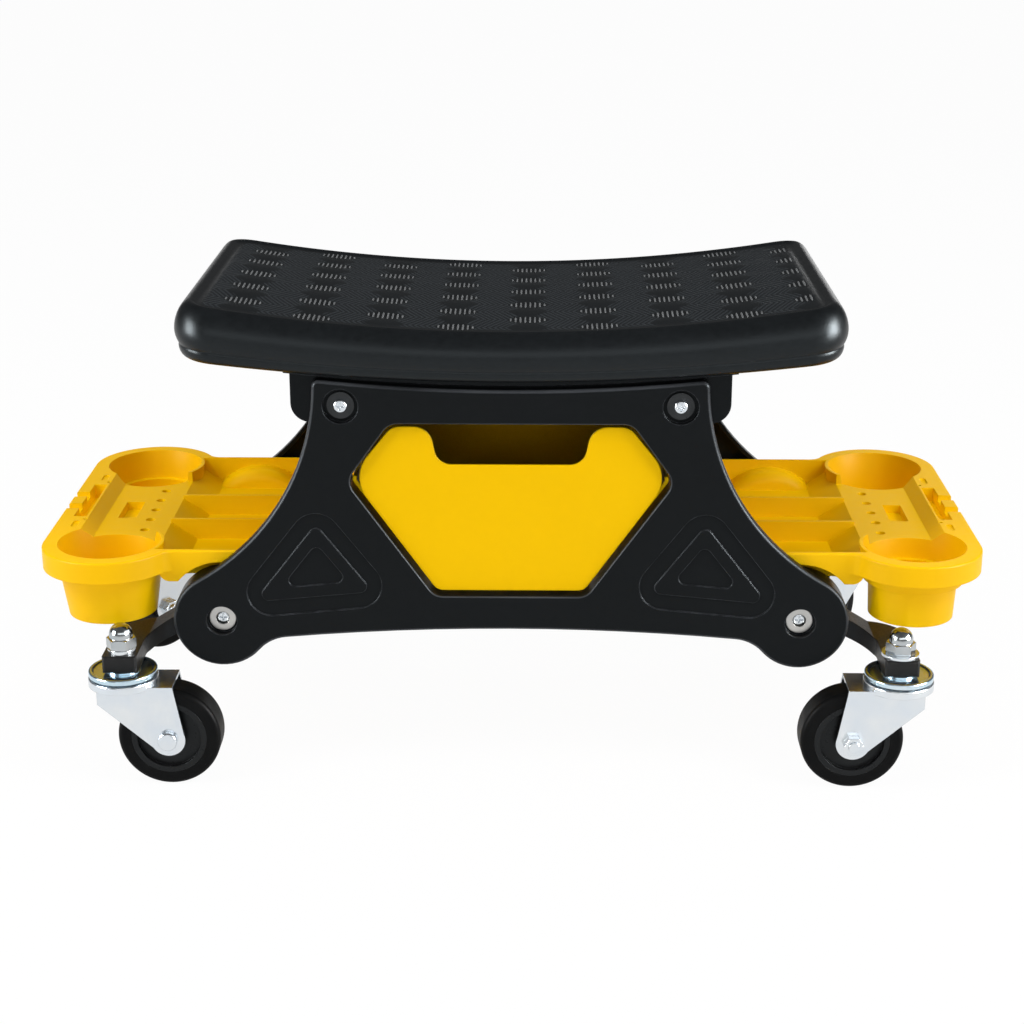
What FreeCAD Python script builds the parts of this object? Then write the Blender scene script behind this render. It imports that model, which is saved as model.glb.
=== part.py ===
import FreeCAD, Part
import math
import os
import Sketcher

# Rolling mechanic seat: saddle seat on two moulded panels, two trays, a drawer and four casters.
# Millimetres, +Z up, origin on the floor under the middle, front of the seat towards -Y.

vector = FreeCAD.Vector
upright = vector(0, 0, 1)
doc = FreeCAD.newDocument("rolling_seat")
sheet = doc.addObject("Spreadsheet::Sheet", "sizes")

sizes = {
    # fits and cuts
    "overrun": 20,
    "running_gap": 0.3,
    "thread_gap": 0.05,
    # caster layout and wheel
    "caster_x": 282,
    "caster_y": 140,
    "caster_trail": 33,
    "wheel_radius": 37.5,
    "wheel_width": 25,
    "tyre_depth": 10,
    "tyre_round": 4,
    "core_web_width": 17,
    "core_rim_depth": 4,
    "hub_radius": 11,
    "bush_outer_radius": 6.5,
    "axle_radius": 4,
    "wheel_side_gap": 1.6,
    # fork
    "fork_sheet": 2.6,
    "fork_top_z": 79,
    "fork_cup_radius": 25.5,
    "fork_cup_height": 3.6,
    "fork_cup_wall": 3.2,
    "fork_plate_reach": 38,
    "fork_eye_radius": 12.5,
    "fork_leg_back": 17,
    "fork_leg_drop": 11,
    "axle_head_height": 4.5,
    "axle_head_radius": 7,
    "axle_nut_height": 6,
    "axle_nut_across": 13,
    "axle_tail": 2,
    # stem, swivel race and balls
    "stem_radius": 6,
    "stem_head_radius": 9.5,
    "stem_head_height": 5.5,
    "stem_rise": 14,
    "race_radius": 25,
    "race_thickness": 4.2,
    "race_dish_depth": 1.6,
    "race_dish_radius": 21,
    "ball_ring_radius": 17,
    "ball_radius": 2.55,
    "ball_groove_depth": 0.7,
    # caster arms
    "arm_width": 25,
    "arm_bottom_z": 88,
    "arm_thickness": 13,
    "arm_end_reach": 12.5,
    "arm_depth": 25,
    "arm_outer_bend": 34,
    "arm_inner_bend": 16,
    "arm_eye_radius": 16,
    "arm_strip_drop": 1,
    "arm_rise_start": 14,
    "arm_rise_end": 41,
    "arm_chamfer": 1.5,
    # cap nuts and their washers
    "cap_nut_across": 19,
    "cap_hex_height": 8,
    "cap_dome_radius": 8.6,
    "cap_neck_height": 2,
    "flat_washer_radius": 13.5,
    "flat_washer_thickness": 2.2,
    "lock_washer_radius": 10.2,
    "lock_washer_thickness": 3,
    # side panels
    "panel_face_y": 124,
    "panel_sheet": 3.5,
    "panel_flange": 9,
    "panel_round": 3,
    "panel_corner_x": 140,
    "panel_corner_z": 300.5,
    "panel_corner_round": 5,
    "panel_top_sag": 7.5,
    "panel_arch_z": 112,
    "panel_arch_drop": 7,
    "panel_arch_x": 160,
    "lobe_x": 211,
    "lobe_z": 118,
    "lobe_radius": 35.5,
    "lobe_depth": 24,
    "lobe_blend": 30,
    "upper_screw_x": 120,
    "upper_screw_z": 281,
    "upper_recess_radius": 12.6,
    "upper_recess_depth": 5,
    "boss_wall": 3,
    "lower_recess_radius": 11.2,
    "lower_recess_depth": 6.5,
    "ledge_x": 155,
    "ledge_width": 30,
    "ledge_thickness": 4,
    "ledge_overlap": 16,
    # drawer opening
    "opening_top_x": 86,
    "opening_top_z": 268,
    "opening_mid_x": 117,
    "opening_mid_z": 225,
    "opening_low_x": 55,
    "opening_low_z": 138,
    "opening_round": 12,
    "opening_guide_depth": 20,
    "opening_edge_round": 1.5,
    # triangle embosses
    "emboss_top_x": 140,
    "emboss_top_z": 212.5,
    "emboss_inner_x": 77,
    "emboss_inner_z": 131.5,
    "emboss_outer_x": 213.5,
    "emboss_outer_z": 118.3,
    "emboss_round": 18,
    "emboss_step": 12,
    "emboss_inner_step": 21,
    "emboss_inner_round": 5,
    "emboss_depth": 1.4,
    # drawer
    "drawer_gap": 3,
    "drawer_face_y": 119,
    "drawer_wall": 3,
    "drawer_side_z": 224,
    "drawer_rib_x": 36,
    "drawer_rib_width": 5,
    "notch_top_x": 64,
    "notch_base_x": 47,
    "notch_base_z": 236.5,
    "notch_round": 9,
    # trays
    "tray_rim_z": 169,
    "tray_inner_x": 127,
    "tray_half_depth": 114,
    "tray_wall": 3,
    "tray_bottom_z": 145,
    "tray_deck_drop": 8,
    "tray_deck_edge_x": 262,
    "tray_ramp_run": 20,
    "tray_rib_y": 28.4,
    "tray_rib_width": 3,
    "tray_rib_drop": 5,
    "tray_foot_round": 8,
    "rim_band": 16,
    "rim_edge_round": 1.5,
    "rim_blend": 10,
    "deck_half_depth": 72,
    "cup_x": 296,
    "cup_y": 94,
    "cup_rim_radius": 49,
    "cup_mouth_radius": 37.7,
    "cup_taper": 8,
    "cup_wall": 2.6,
    "cup_bottom_z": 116,
    "cup_step_z": 143.5,
    "cup_step": 3.6,
    "arch_radius": 42,
    "arch_depth": 17,
    "arch_wall": 3,
    "hump_round": 9,
    "bar_width": 22,
    "bar_slope": 8,
    "slot_x": 329.5,
    "slot_width": 10,
    "slot_length": 77,
    "slot_depth": 11,
    "slot_notch_pitch": 28,
    "slot_notch_width": 12,
    "slot_notch_depth": 5,
    "pocket_x": 298,
    "pocket_width": 14,
    "pocket_length": 38,
    "pocket_depth": 6.5,
    "tool_hole_x": 279,
    "tool_hole_radius": 3.6,
    "tool_hole_pitch": 23.3,
    "pilot_radius": 1.6,
    "pilot_y": 45,
    "pilot_x": 324.5,
    "dimple_y": 56,
    "dimple_length": 14,
    "dimple_width": 5,
    "dimple_depth": 1.2,
    # screws, bushes and washers in the panels
    "upper_washer_radius": 9.8,
    "upper_washer_thickness": 1.6,
    "small_screw_radius": 2.5,
    "small_head_radius": 4.9,
    "small_head_height": 3.4,
    "upper_screw_length": 16,
    "lower_bush_radius": 9.7,
    "lower_bush_length": 12,
    "lower_bush_proud": 0.5,
    "lower_bush_bore": 4.9,
    "lower_head_sink": 1.6,
    "lower_head_radius": 4.6,
    "lower_head_height": 3.4,
    "lower_screw_radius": 3,
    "lower_nut_across": 10,
    "lower_nut_height": 5,
    "lower_screw_tail": 2,
    "cross_length": 5.2,
    "cross_width": 1.1,
    "cross_depth": 1.8,
    "tray_screw_length": 10,
    # seat base and cushion
    "cushion_half_length": 237.5,
    "cushion_half_depth": 131,
    "cushion_mid_z": 300.5,
    "cushion_thickness": 33.5,
    "saddle_rise": 19.5,
    "cushion_roll": 15,
    "cushion_lip": 8,
    "cushion_end_round": 22,
    "cushion_crown": 2.5,
    "cushion_crease": 1.5,
    "cushion_tuck": 3,
    "base_half_length": 160,
    "base_half_depth": 119,
    "base_sheet": 5,
    "skirt_half_length": 156,
    "skirt_bottom_z": 267,
    "skirt_corner": 14,
    "skirt_mid_z": 275,
    "skirt_mid_half_length": 100,
    "skirt_wall": 4,
    "skirt_boss_radius": 7,
    "skirt_boss_length": 14,
    "cushion_screw_x": 110,
    "cushion_screw_y": 75,
    "cushion_screw_length": 16,
    "cushion_boss_height": 9,
}
# Counts, angles and shares, which don't scale with the object.
caster_headings = {"front_left": 0, "front_right": 180, "rear_left": 225, "rear_right": 225}
balls_per_race = 16
tool_hole_count = 5
slot_notch_count = 2
dimple_round_share = 0.49
cushion_end_shares = (0, 0.06, 0.22, 0.5, 1)
cushion_middle_shares = (0.7, 0.5, 0.25)

for row, (name, number) in enumerate(sizes.items(), start=1):
    sheet.set(f"A{row}", name)
    sheet.set(f"B{row}", str(number))
    sheet.setAlias(f"B{row}", name)
doc.recompute()


class Length:
    """A size with its number and the sheet expression that gives it."""

    def __init__(self, number, text):
        self.number = number
        self.text = text

    def join(self, other, sign, number):
        return Length(number, f"({self.text} {sign} {as_length(other).text})")

    def __add__(self, other):
        return self.join(other, "+", self.number + float(other))

    def __sub__(self, other):
        return self.join(other, "-", self.number - float(other))

    def __mul__(self, other):
        return self.join(other, "*", self.number * float(other))

    def __truediv__(self, other):
        return self.join(other, "/", self.number / float(other))

    def __neg__(self):
        return Length(-self.number, f"(-{self.text})")

    def __float__(self):
        return float(self.number)

    __rmul__ = __mul__
    __radd__ = __add__


def as_length(value):
    return value if isinstance(value, Length) else Length(float(value), repr(float(value)))


class Sizes:
    """Reads a size from the sheet by its alias."""

    def __getattr__(self, name):
        return Length(float(sheet.get(name)), f"sizes.{name}")


s = Sizes()


def bind(item, field, value):
    item.setExpression(field, as_length(value).text)


# Sketches and features

def new_body(label):
    body = doc.addObject("PartDesign::Body", label)
    body.Label = label
    return body


def sketch_on(body, role, height=0):
    sketch = body.newObject("Sketcher::SketchObject", "outline")
    plane = next(item for item in body.Origin.OriginFeatures if item.Role == role)
    sketch.AttachmentSupport = [(plane, "")]
    sketch.MapMode = "FlatFace"
    bind(sketch, "AttachmentOffset.Base.z", height)
    return sketch


def hold(sketch, kind, places, value):
    number = sketch.addConstraint(Sketcher.Constraint(kind, *places, float(value)))
    bind(sketch, f"Constraints[{number}]", value)


def hold_point(sketch, edge, end, x, y):
    hold(sketch, "DistanceX", (edge, end), x)
    hold(sketch, "DistanceY", (edge, end), y)


def circle(sketch, x, y, radius):
    edge = sketch.addGeometry(Part.Circle(vector(float(x), float(y), 0), upright, float(radius)))
    hold_point(sketch, edge, 3, x, y)
    hold(sketch, "Radius", (edge,), radius)


def polygon(sketch, corners):
    places = [vector(float(x), float(y), 0) for x, y in corners]
    edges = []
    for start, end in zip(places, places[1:] + places[:1]):
        edges.append(sketch.addGeometry(Part.LineSegment(start, end)))
    for edge, follower, corner in zip(edges, edges[1:] + edges[:1], corners):
        sketch.addConstraint(Sketcher.Constraint("Coincident", edge, 2, follower, 1))
        hold_point(sketch, edge, 1, *corner)


def rectangle(sketch, left, low, right, high):
    polygon(sketch, [(left, low), (right, low), (right, high), (left, high)])


def trace(sketch, curves):
    # Lines and arcs worked out from the sheet's sizes, held where they were drawn.
    for curve in curves:
        edge = sketch.addGeometry(curve)
        sketch.addConstraint(Sketcher.Constraint("Block", edge))


def extrude(body, kind, sketch, length, reverse=False, both=False):
    feature = body.newObject(f"PartDesign::{kind}", kind.lower())
    feature.Profile = sketch
    bind(feature, "Length", length)
    feature.Reversed = reverse
    feature.Midplane = both
    return feature


def pad(body, sketch, length, **how):
    return extrude(body, "Pad", sketch, length, **how)


def pocket(body, sketch, length, **how):
    return extrude(body, "Pocket", sketch, length, **how)


def revolve(body, sketch):
    feature = body.newObject("PartDesign::Revolution", "revolution")
    feature.Profile = sketch
    feature.ReferenceAxis = (sketch, ["V_Axis"])
    feature.Angle = 360
    return feature


def round_edges(body, chosen, radius, kind="Fillet"):
    # Rounds the edges of the body so far for which chosen(edge) holds.
    doc.recompute()
    base = body.Tip
    names = []
    for number, edge in enumerate(base.Shape.Edges, start=1):
        if chosen(edge):
            names.append(f"Edge{number}")
    feature = body.newObject(f"PartDesign::{kind}", kind.lower())
    feature.Base = (base, names)
    bind(feature, "Radius" if kind == "Fillet" else "Size", radius)
    return feature


def near(first, second):
    return abs(float(first) - float(second)) < Part.Precision.confusion() * 1e3


def lies_at(axis, place):
    # Chooses edges that lie wholly in one plane across an axis.
    def chosen(edge):
        box = edge.BoundBox
        low = getattr(box, f"{axis}Min")
        high = getattr(box, f"{axis}Max")
        return near(low, place) and near(high, place)
    return chosen


def flat(x, y):
    return vector(float(x), float(y), 0)


def arc(start, middle, end):
    return Part.Arc(start, middle, end)


def line(start, end):
    return Part.LineSegment(start, end)


def rounded(corners, radius):
    # Closed outline of straight sides with a tangent arc at each corner.
    # One radius serves all corners, or a list gives one for each, where zero leaves a sharp corner.
    places = [flat(*corner) for corner in corners]
    count = len(places)
    radii = radius if isinstance(radius, list) else [radius] * count
    arcs = []
    for index in range(count):
        here = places[index]
        back = (places[index - 1] - here).normalize()
        ahead = (places[(index + 1) % count] - here).normalize()
        half = back.getAngle(ahead) / 2
        bend = float(radii[index])
        reach = bend / math.tan(half)
        inward = (back + ahead).normalize()
        middle = here + inward * (bend / math.sin(half) - bend)
        arcs.append((here + back * reach, middle, here + ahead * reach))
    curves = []
    for index in range(count):
        if float(radii[index]):
            curves.append(arc(*arcs[index]))
        curves.append(line(arcs[index][2], arcs[(index + 1) % count][0]))
    return curves


def inset(corners, step):
    # Corners of a straight-sided outline, going round the same way, moved inward by step.
    places = [flat(*corner) for corner in corners]
    count = len(places)
    moved = []
    for index in range(count):
        here = places[index]
        back = (places[index - 1] - here).normalize()
        ahead = (places[(index + 1) % count] - here).normalize()
        half = back.getAngle(ahead) / 2
        moved.append(here + (back + ahead).normalize() * (float(step) / math.sin(half)))
    return [(place.x, place.y) for place in moved]


def crossing(first, first_radius, second, second_radius, side):
    # Where two circles cross, on the left (1) or right (-1) of the way from first to second.
    way = second - first
    span = way.Length
    along = (span ** 2 + first_radius ** 2 - second_radius ** 2) / (2 * span)
    across = math.sqrt(first_radius ** 2 - along ** 2)
    way.normalize()
    return first + way * along + vector(-way.y, way.x, 0) * (side * across)


def towards(start, target, distance):
    return start + (target - start).normalize() * distance


def mirrored(curves):
    # The same curves on the other side of the middle.
    copies = []
    for curve in curves:
        start, finish = (flat(-place.x, place.y) for place in (curve.StartPoint, curve.EndPoint))
        middle = curve.value((curve.FirstParameter + curve.LastParameter) / 2)
        copies.append(arc(start, flat(-middle.x, middle.y), finish))
    return copies


def turned(body, degrees):
    body.Placement.Rotation = FreeCAD.Rotation(upright, degrees)
    return body


def group(label, shapes):
    # Identical loose pieces that share one node.
    item = doc.addObject("Part::Feature", label)
    item.Label = label
    item.Shape = Part.makeCompound(shapes)
    return item


def spun(profile):
    # Solid of revolution about Z from (radius, height) corners.
    points = [vector(float(radius), 0, float(height)) for radius, height in profile]
    face = Part.Face(Part.makePolygon(points + points[:1]))
    return face.revolve(vector(), upright, 360)


def hexagon(across, low, high):
    radius = float(across) / math.sqrt(3)
    corners = []
    for index in range(6):
        angle = math.radians(60 * index)
        corners.append(vector(radius * math.cos(angle), radius * math.sin(angle), float(low)))
    face = Part.Face(Part.makePolygon(corners + corners[:1]))
    return face.extrude(upright * (float(high) - float(low)))


def cross_screw(radius, length, head_radius, head_height):
    # Pan-head screw with a cross recess: head on top, seat at height zero, shank downwards.
    shank = spun([(0, -length), (radius, -length), (radius, 0), (0, 0)])
    crown = float(head_height)
    head = Part.makeCylinder(float(head_radius), crown)
    head = head.makeFillet(crown / 2, [head.Edges[0]])
    for turn in (0, 90):
        bar = Part.makeBox(float(s.cross_length), float(s.cross_width), float(s.cross_depth) * 2)
        bar.translate(vector(-float(s.cross_length) / 2, -float(s.cross_width) / 2,
                             crown - float(s.cross_depth)))
        bar.rotate(vector(), upright, turn)
        head = head.cut(bar)
    return shank.fuse(head).removeSplitter()


def aim(shape, direction, x, y, z):
    # Copy of a shape with its upward direction turned to point along direction.
    copy = shape.copy()
    turn = FreeCAD.Rotation(upright, direction)
    copy.Placement = FreeCAD.Placement(vector(float(x), float(y), float(z)), turn)
    return copy


sides = {"left": -1, "right": 1}
ends = {"front": -1, "rear": 1}


# Caster wheels, forks and stems

def caster_place(body, corner, along, height, wheel=False):
    # Puts a piece made about the swivel axis, or about a wheel's own axis, on its caster.
    end, side = corner.split("_")
    heading = math.radians(caster_headings[corner])
    turn = FreeCAD.Rotation(upright, caster_headings[corner])
    if wheel:
        turn = turn.multiply(FreeCAD.Rotation(vector(1, 0, 0), 90))
    body.Placement.Rotation = turn
    bind(body, "Placement.Base.x", s.caster_x * sides[side] + along * math.cos(heading))
    bind(body, "Placement.Base.y", s.caster_y * ends[end] + along * math.sin(heading))
    bind(body, "Placement.Base.z", height)
    return body


def on_axle(body, corner):
    return caster_place(body, corner, s.caster_trail, s.wheel_radius, wheel=True)


fork_half_gap = s.wheel_width / 2 + s.wheel_side_gap
fork_half_width = fork_half_gap + s.fork_sheet
core_radius = s.wheel_radius - s.tyre_depth


def tyre(corner):
    body = new_body(f"tyre_{corner}")
    sketch = sketch_on(body, "XZ_Plane")
    rectangle(sketch, core_radius, -(s.wheel_width / 2), s.wheel_radius, s.wheel_width / 2)
    revolve(body, sketch)
    round_edges(body, lambda edge: near(edge.Curve.Radius, s.wheel_radius)
                if hasattr(edge.Curve, "Radius") else False, s.tyre_round)
    return on_axle(body, corner)


def wheel_core(corner):
    body = new_body(f"wheel_core_{corner}")
    sketch = sketch_on(body, "XZ_Plane")
    bore = s.bush_outer_radius + s.thread_gap
    outside = core_radius - s.thread_gap
    rim = outside - s.core_rim_depth
    full = s.wheel_width / 2
    web = s.core_web_width / 2
    upper = [(outside, full), (rim, full), (rim, web), (s.hub_radius, web), (s.hub_radius, full), (bore, full)]
    lower = [(radius, -height) for radius, height in reversed(upper)]
    polygon(sketch, upper + lower)
    revolve(body, sketch)
    return on_axle(body, corner)


def axle_bush(corner):
    body = new_body(f"axle_bush_{corner}")
    sketch = sketch_on(body, "XZ_Plane")
    reach = fork_half_gap - s.running_gap
    rectangle(sketch, s.axle_radius + s.running_gap, -reach, s.bush_outer_radius, reach)
    revolve(body, sketch)
    return on_axle(body, corner)


def axle_bolt(corner):
    body = new_body(f"axle_bolt_{corner}")
    sketch = sketch_on(body, "XZ_Plane")
    seat = fork_half_width
    tail = -(seat + s.axle_nut_height + s.axle_tail)
    top = seat + s.axle_head_height
    polygon(sketch, [(0, tail), (s.axle_radius, tail), (s.axle_radius, seat), (s.axle_head_radius, seat),
                     (s.axle_head_radius, top), (0, top)])
    revolve(body, sketch)
    round_edges(body, lies_at("Z", top), s.axle_head_height / 3)
    return on_axle(body, corner)


def axle_nut(corner):
    body = new_body(f"axle_nut_{corner}")
    sketch = sketch_on(body, "XY_Plane", -fork_half_width)
    radius = s.axle_nut_across / math.sqrt(3)
    corners = []
    for index in range(6):
        angle = math.radians(60 * index)
        corners.append((radius * math.cos(angle), radius * math.sin(angle)))
    polygon(sketch, corners)
    pad(body, sketch, s.axle_nut_height, reverse=True)
    sketch = sketch_on(body, "XY_Plane", -fork_half_width)
    circle(sketch, 0, 0, s.axle_radius + s.thread_gap)
    pocket(body, sketch, s.axle_nut_height)
    return on_axle(body, corner)


def fork(corner):
    body = new_body(f"fork_{corner}")
    plate_z = s.fork_top_z - s.fork_sheet
    sketch = sketch_on(body, "XY_Plane", plate_z)
    circle(sketch, 0, 0, s.fork_cup_radius)
    pad(body, sketch, s.fork_sheet)
    sketch = sketch_on(body, "XY_Plane", plate_z)
    rectangle(sketch, 0, -fork_half_width, s.fork_plate_reach, fork_half_width)
    pad(body, sketch, s.fork_sheet)
    sketch = sketch_on(body, "XY_Plane", s.fork_top_z)
    circle(sketch, 0, 0, s.fork_cup_radius)
    circle(sketch, 0, 0, s.fork_cup_radius - s.fork_cup_wall)
    pad(body, sketch, s.fork_cup_height)
    # Tapered legs down to the axle eyes.
    back = s.fork_leg_back
    eye = s.fork_eye_radius
    axle_z = s.wheel_radius
    leg = [(-back, s.fork_top_z), (-back, plate_z - s.fork_leg_drop),
           (s.caster_trail - eye * math.sin(math.radians(60)), axle_z - eye * math.cos(math.radians(60))),
           (s.caster_trail + eye, axle_z), (s.fork_plate_reach, s.fork_top_z)]
    for height in (fork_half_width, -fork_half_gap):
        sketch = sketch_on(body, "XZ_Plane", height)
        polygon(sketch, leg)
        pad(body, sketch, s.fork_sheet, reverse=True)
        sketch = sketch_on(body, "XZ_Plane", height)
        circle(sketch, s.caster_trail, axle_z, eye)
        pad(body, sketch, s.fork_sheet, reverse=True)
    sketch = sketch_on(body, "XZ_Plane")
    circle(sketch, s.caster_trail, axle_z, s.axle_radius + s.thread_gap)
    pocket(body, sketch, fork_half_width * 2 + s.overrun, both=True)
    sketch = sketch_on(body, "XY_Plane", s.fork_top_z)
    circle(sketch, 0, 0, s.stem_radius + s.running_gap)
    pocket(body, sketch, s.fork_sheet + s.ball_groove_depth)
    sketch = sketch_on(body, "XY_Plane", s.fork_top_z)
    groove = s.ball_radius + s.running_gap
    circle(sketch, 0, 0, s.ball_ring_radius + groove)
    circle(sketch, 0, 0, s.ball_ring_radius - groove)
    pocket(body, sketch, s.ball_groove_depth)
    round_edges(body, lambda edge: lies_at("Z", s.fork_top_z + s.fork_cup_height)(edge)
                and near(edge.Curve.Radius, s.fork_cup_radius), s.fork_cup_wall / 2)
    return caster_place(body, corner, 0, 0)


arm_top_z = s.arm_bottom_z + s.arm_thickness
race_bottom_z = s.arm_bottom_z - s.race_thickness


def stem(corner):
    body = new_body(f"stem_{corner}")
    head_z = s.fork_top_z - s.fork_sheet - s.running_gap
    rim_z = s.arm_bottom_z - s.running_gap
    dish_z = s.arm_bottom_z - s.race_dish_depth
    seat = s.arm_width / 2
    sketch = sketch_on(body, "XZ_Plane")
    polygon(sketch, [
        (0, head_z - s.stem_head_height), (s.stem_head_radius, head_z - s.stem_head_height),
        (s.stem_head_radius, head_z), (s.stem_radius, head_z), (s.stem_radius, race_bottom_z),
        (s.race_radius, race_bottom_z), (s.race_radius, rim_z), (s.race_dish_radius + s.race_dish_depth, rim_z),
        (s.race_dish_radius, dish_z), (seat, dish_z), (seat, s.arm_bottom_z), (s.stem_radius, s.arm_bottom_z),
        (s.stem_radius, arm_top_z + s.stem_rise), (0, arm_top_z + s.stem_rise)])
    revolve(body, sketch)
    round_edges(body, lambda edge: lies_at("Z", rim_z)(edge)
                and near(edge.Curve.Radius, s.race_radius), s.race_thickness / 3)
    return caster_place(body, corner, 0, 0)


def swivel_balls():
    ball_z = race_bottom_z - s.thread_gap - s.ball_radius
    balls = []
    for end in ends.values():
        for side in sides.values():
            for index in range(balls_per_race):
                angle = math.tau * index / balls_per_race
                ball = Part.makeSphere(float(s.ball_radius))
                x = s.caster_x * side + s.ball_ring_radius * math.cos(angle)
                y = s.caster_y * end + s.ball_ring_radius * math.sin(angle)
                balls.append(aim(ball, upright, x, y, ball_z))
    return group("swivel_balls", balls)


# Caster arms, cap nuts and washers

lobe_back_y = s.panel_face_y - s.lobe_depth


def caster_arm(corner):
    end, side = corner.split("_")
    across = sides[side]
    ahead = ends[end]
    body = new_body(f"arm_{corner}")
    outer_x = s.caster_x + s.arm_width / 2
    inner_x = s.caster_x - s.arm_width / 2
    tip_y = s.caster_y + s.arm_end_reach
    back_y = lobe_back_y - s.arm_depth
    root_x = s.lobe_x - s.arm_eye_radius
    plan = [(outer_x, tip_y), (outer_x, back_y), (root_x, back_y), (root_x, lobe_back_y),
            (inner_x, lobe_back_y), (inner_x, tip_y)]
    plan = [(x * across, y * ahead) for x, y in plan]
    bends = [0, s.arm_outer_bend, 0, 0, s.arm_inner_bend, 0]
    sketch = sketch_on(body, "XY_Plane", s.arm_bottom_z)
    trace(sketch, rounded(plan, bends))
    eye_top = s.lobe_z + s.arm_eye_radius
    pad(body, sketch, eye_top - s.arm_bottom_z)
    # The bar lies flat under the cup and rises to the eye in the panel's lobe.
    far = outer_x + s.overrun
    close = root_x - s.overrun
    bend_x = s.caster_x - s.arm_rise_start
    rise_x = s.caster_x - s.arm_rise_end
    high = eye_top + s.overrun
    low = s.arm_bottom_z - s.overrun
    above = [(far, high), (far, arm_top_z), (bend_x, arm_top_z), (rise_x, s.lobe_z - s.arm_strip_drop),
             (s.lobe_x + s.arm_eye_radius / 2, eye_top), (close, eye_top), (close, high)]
    below = [(bend_x, low), (bend_x, s.arm_bottom_z), (rise_x, s.lobe_z - s.arm_eye_radius),
             (close, s.lobe_z - s.arm_eye_radius), (close, low)]
    for cut in (above, below):
        sketch = sketch_on(body, "XZ_Plane")
        polygon(sketch, [(x * across, z) for x, z in cut])
        pocket(body, sketch, (tip_y + s.overrun) * 2, both=True)
    sketch = sketch_on(body, "XY_Plane", arm_top_z)
    circle(sketch, s.caster_x * across, s.caster_y * ahead, s.stem_radius + s.thread_gap)
    pocket(body, sketch, s.arm_thickness + s.overrun)
    sketch = sketch_on(body, "XZ_Plane")
    circle(sketch, s.lobe_x * across, s.lobe_z, s.lower_screw_radius + s.thread_gap)
    pocket(body, sketch, tip_y * 2, both=True)
    round_edges(body, lies_at("Y", tip_y * ahead), s.arm_chamfer, kind="Chamfer")
    return body


def cap_nut():
    hex_top = float(s.cap_hex_height)
    dome = float(s.cap_dome_radius)
    neck_top = hex_top + float(s.cap_neck_height)
    corner = float(s.cap_nut_across) / math.sqrt(3)
    bevel = corner - float(s.cap_nut_across) / 2
    shell = spun([(0, 0), (corner - bevel / 2, 0), (corner, bevel / 2), (corner, hex_top - bevel / 2),
                  (corner - bevel, hex_top), (0, hex_top)])
    nut = hexagon(s.cap_nut_across, 0, hex_top).common(shell)
    nut = nut.fuse(Part.makeCylinder(dome, neck_top))
    ball = Part.makeSphere(dome)
    ball.translate(upright * neck_top)
    nut = nut.fuse(ball).removeSplitter()
    bore = Part.makeCylinder(float(s.stem_radius + s.thread_gap), float(s.stem_rise))
    return nut.cut(bore)


def ring(outer, inner, thickness):
    return spun([(inner, 0), (outer, 0), (outer, thickness), (inner, thickness)])


def caster_tops():
    # The left casters have lock washers under their nuts, the right ones flat washers.
    bore = s.stem_radius + s.thread_gap
    washers = {"left": ring(s.lock_washer_radius, bore, s.lock_washer_thickness),
               "right": ring(s.flat_washer_radius, bore, s.flat_washer_thickness)}
    thickness = {"left": s.lock_washer_thickness, "right": s.flat_washer_thickness}
    nuts = []
    pairs = {"left": [], "right": []}
    for side, across in sides.items():
        for ahead in ends.values():
            x = s.caster_x * across
            y = s.caster_y * ahead
            pairs[side].append(aim(washers[side], upright, x, y, arm_top_z))
            nuts.append(aim(cap_nut(), upright, x, y, arm_top_z + thickness[side]))
    return [group("cap_nuts", nuts), group("lock_washers", pairs["left"]), group("flat_washers", pairs["right"])]


# Side panels

def bulge(centre, start, finish, long_way=False):
    # Arc about a centre from start to finish, the short way round or the long way.
    radius = (start - centre).Length
    middle = ((start + finish) * 0.5 - centre).normalize() * radius
    return arc(start, centre - middle if long_way else centre + middle, finish)


def arch_radius_through(half_span, rise):
    return (half_span ** 2 + rise ** 2) / (2 * rise)


def panel_outline(step):
    # Saddle top, hollow sides running into the round lobes, and an arched lower edge, moved inward by step.
    corner_x = float(s.panel_corner_x)
    corner_z = float(s.panel_corner_z)
    lobe = flat(s.lobe_x, s.lobe_z)
    lobe_radius = float(s.lobe_radius)
    offset = corner_x - lobe.x
    drop = corner_z - lobe.y
    side_radius = (offset ** 2 + drop ** 2 - lobe_radius ** 2) / (2 * (lobe_radius - offset))
    side = flat(corner_x + side_radius, corner_z)
    sag = float(s.panel_top_sag)
    top_radius = arch_radius_through(corner_x, sag)
    top = flat(0, corner_z - sag + top_radius)
    arch_bend = arch_radius_through(float(s.panel_arch_x), float(s.panel_arch_drop))
    arch = flat(0, float(s.panel_arch_z) - arch_bend)
    blend_radius = float(s.lobe_blend)
    blend = crossing(arch, arch_bend - blend_radius, lobe, lobe_radius + blend_radius, 1)
    step = float(step)
    corner = crossing(top, top_radius + step, side, side_radius + step, -1)
    shoulder = towards(lobe, side, lobe_radius - step)
    heel = towards(lobe, blend, lobe_radius - step)
    foot = towards(arch, blend, arch_bend + step)
    half = [bulge(side, corner, shoulder), bulge(lobe, shoulder, heel, long_way=True), bulge(blend, heel, foot)]
    other_corner = flat(-corner.x, corner.y)
    other_foot = flat(-foot.x, foot.y)
    top_edge = arc(other_corner, top - vector(0, top_radius + step, 0), corner)
    low_edge = arc(foot, arch + vector(0, arch_bend + step, 0), other_foot)
    return half + [low_edge] + mirrored(half) + [top_edge]


def opening_corners(step):
    # Six corners of the drawer opening, moved inward by step.
    right = [(s.opening_low_x, s.opening_low_z), (s.opening_mid_x, s.opening_mid_z),
             (s.opening_top_x, s.opening_top_z)]
    left = [(-x, z) for x, z in reversed(right)]
    return inset(right + left, step)


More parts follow.
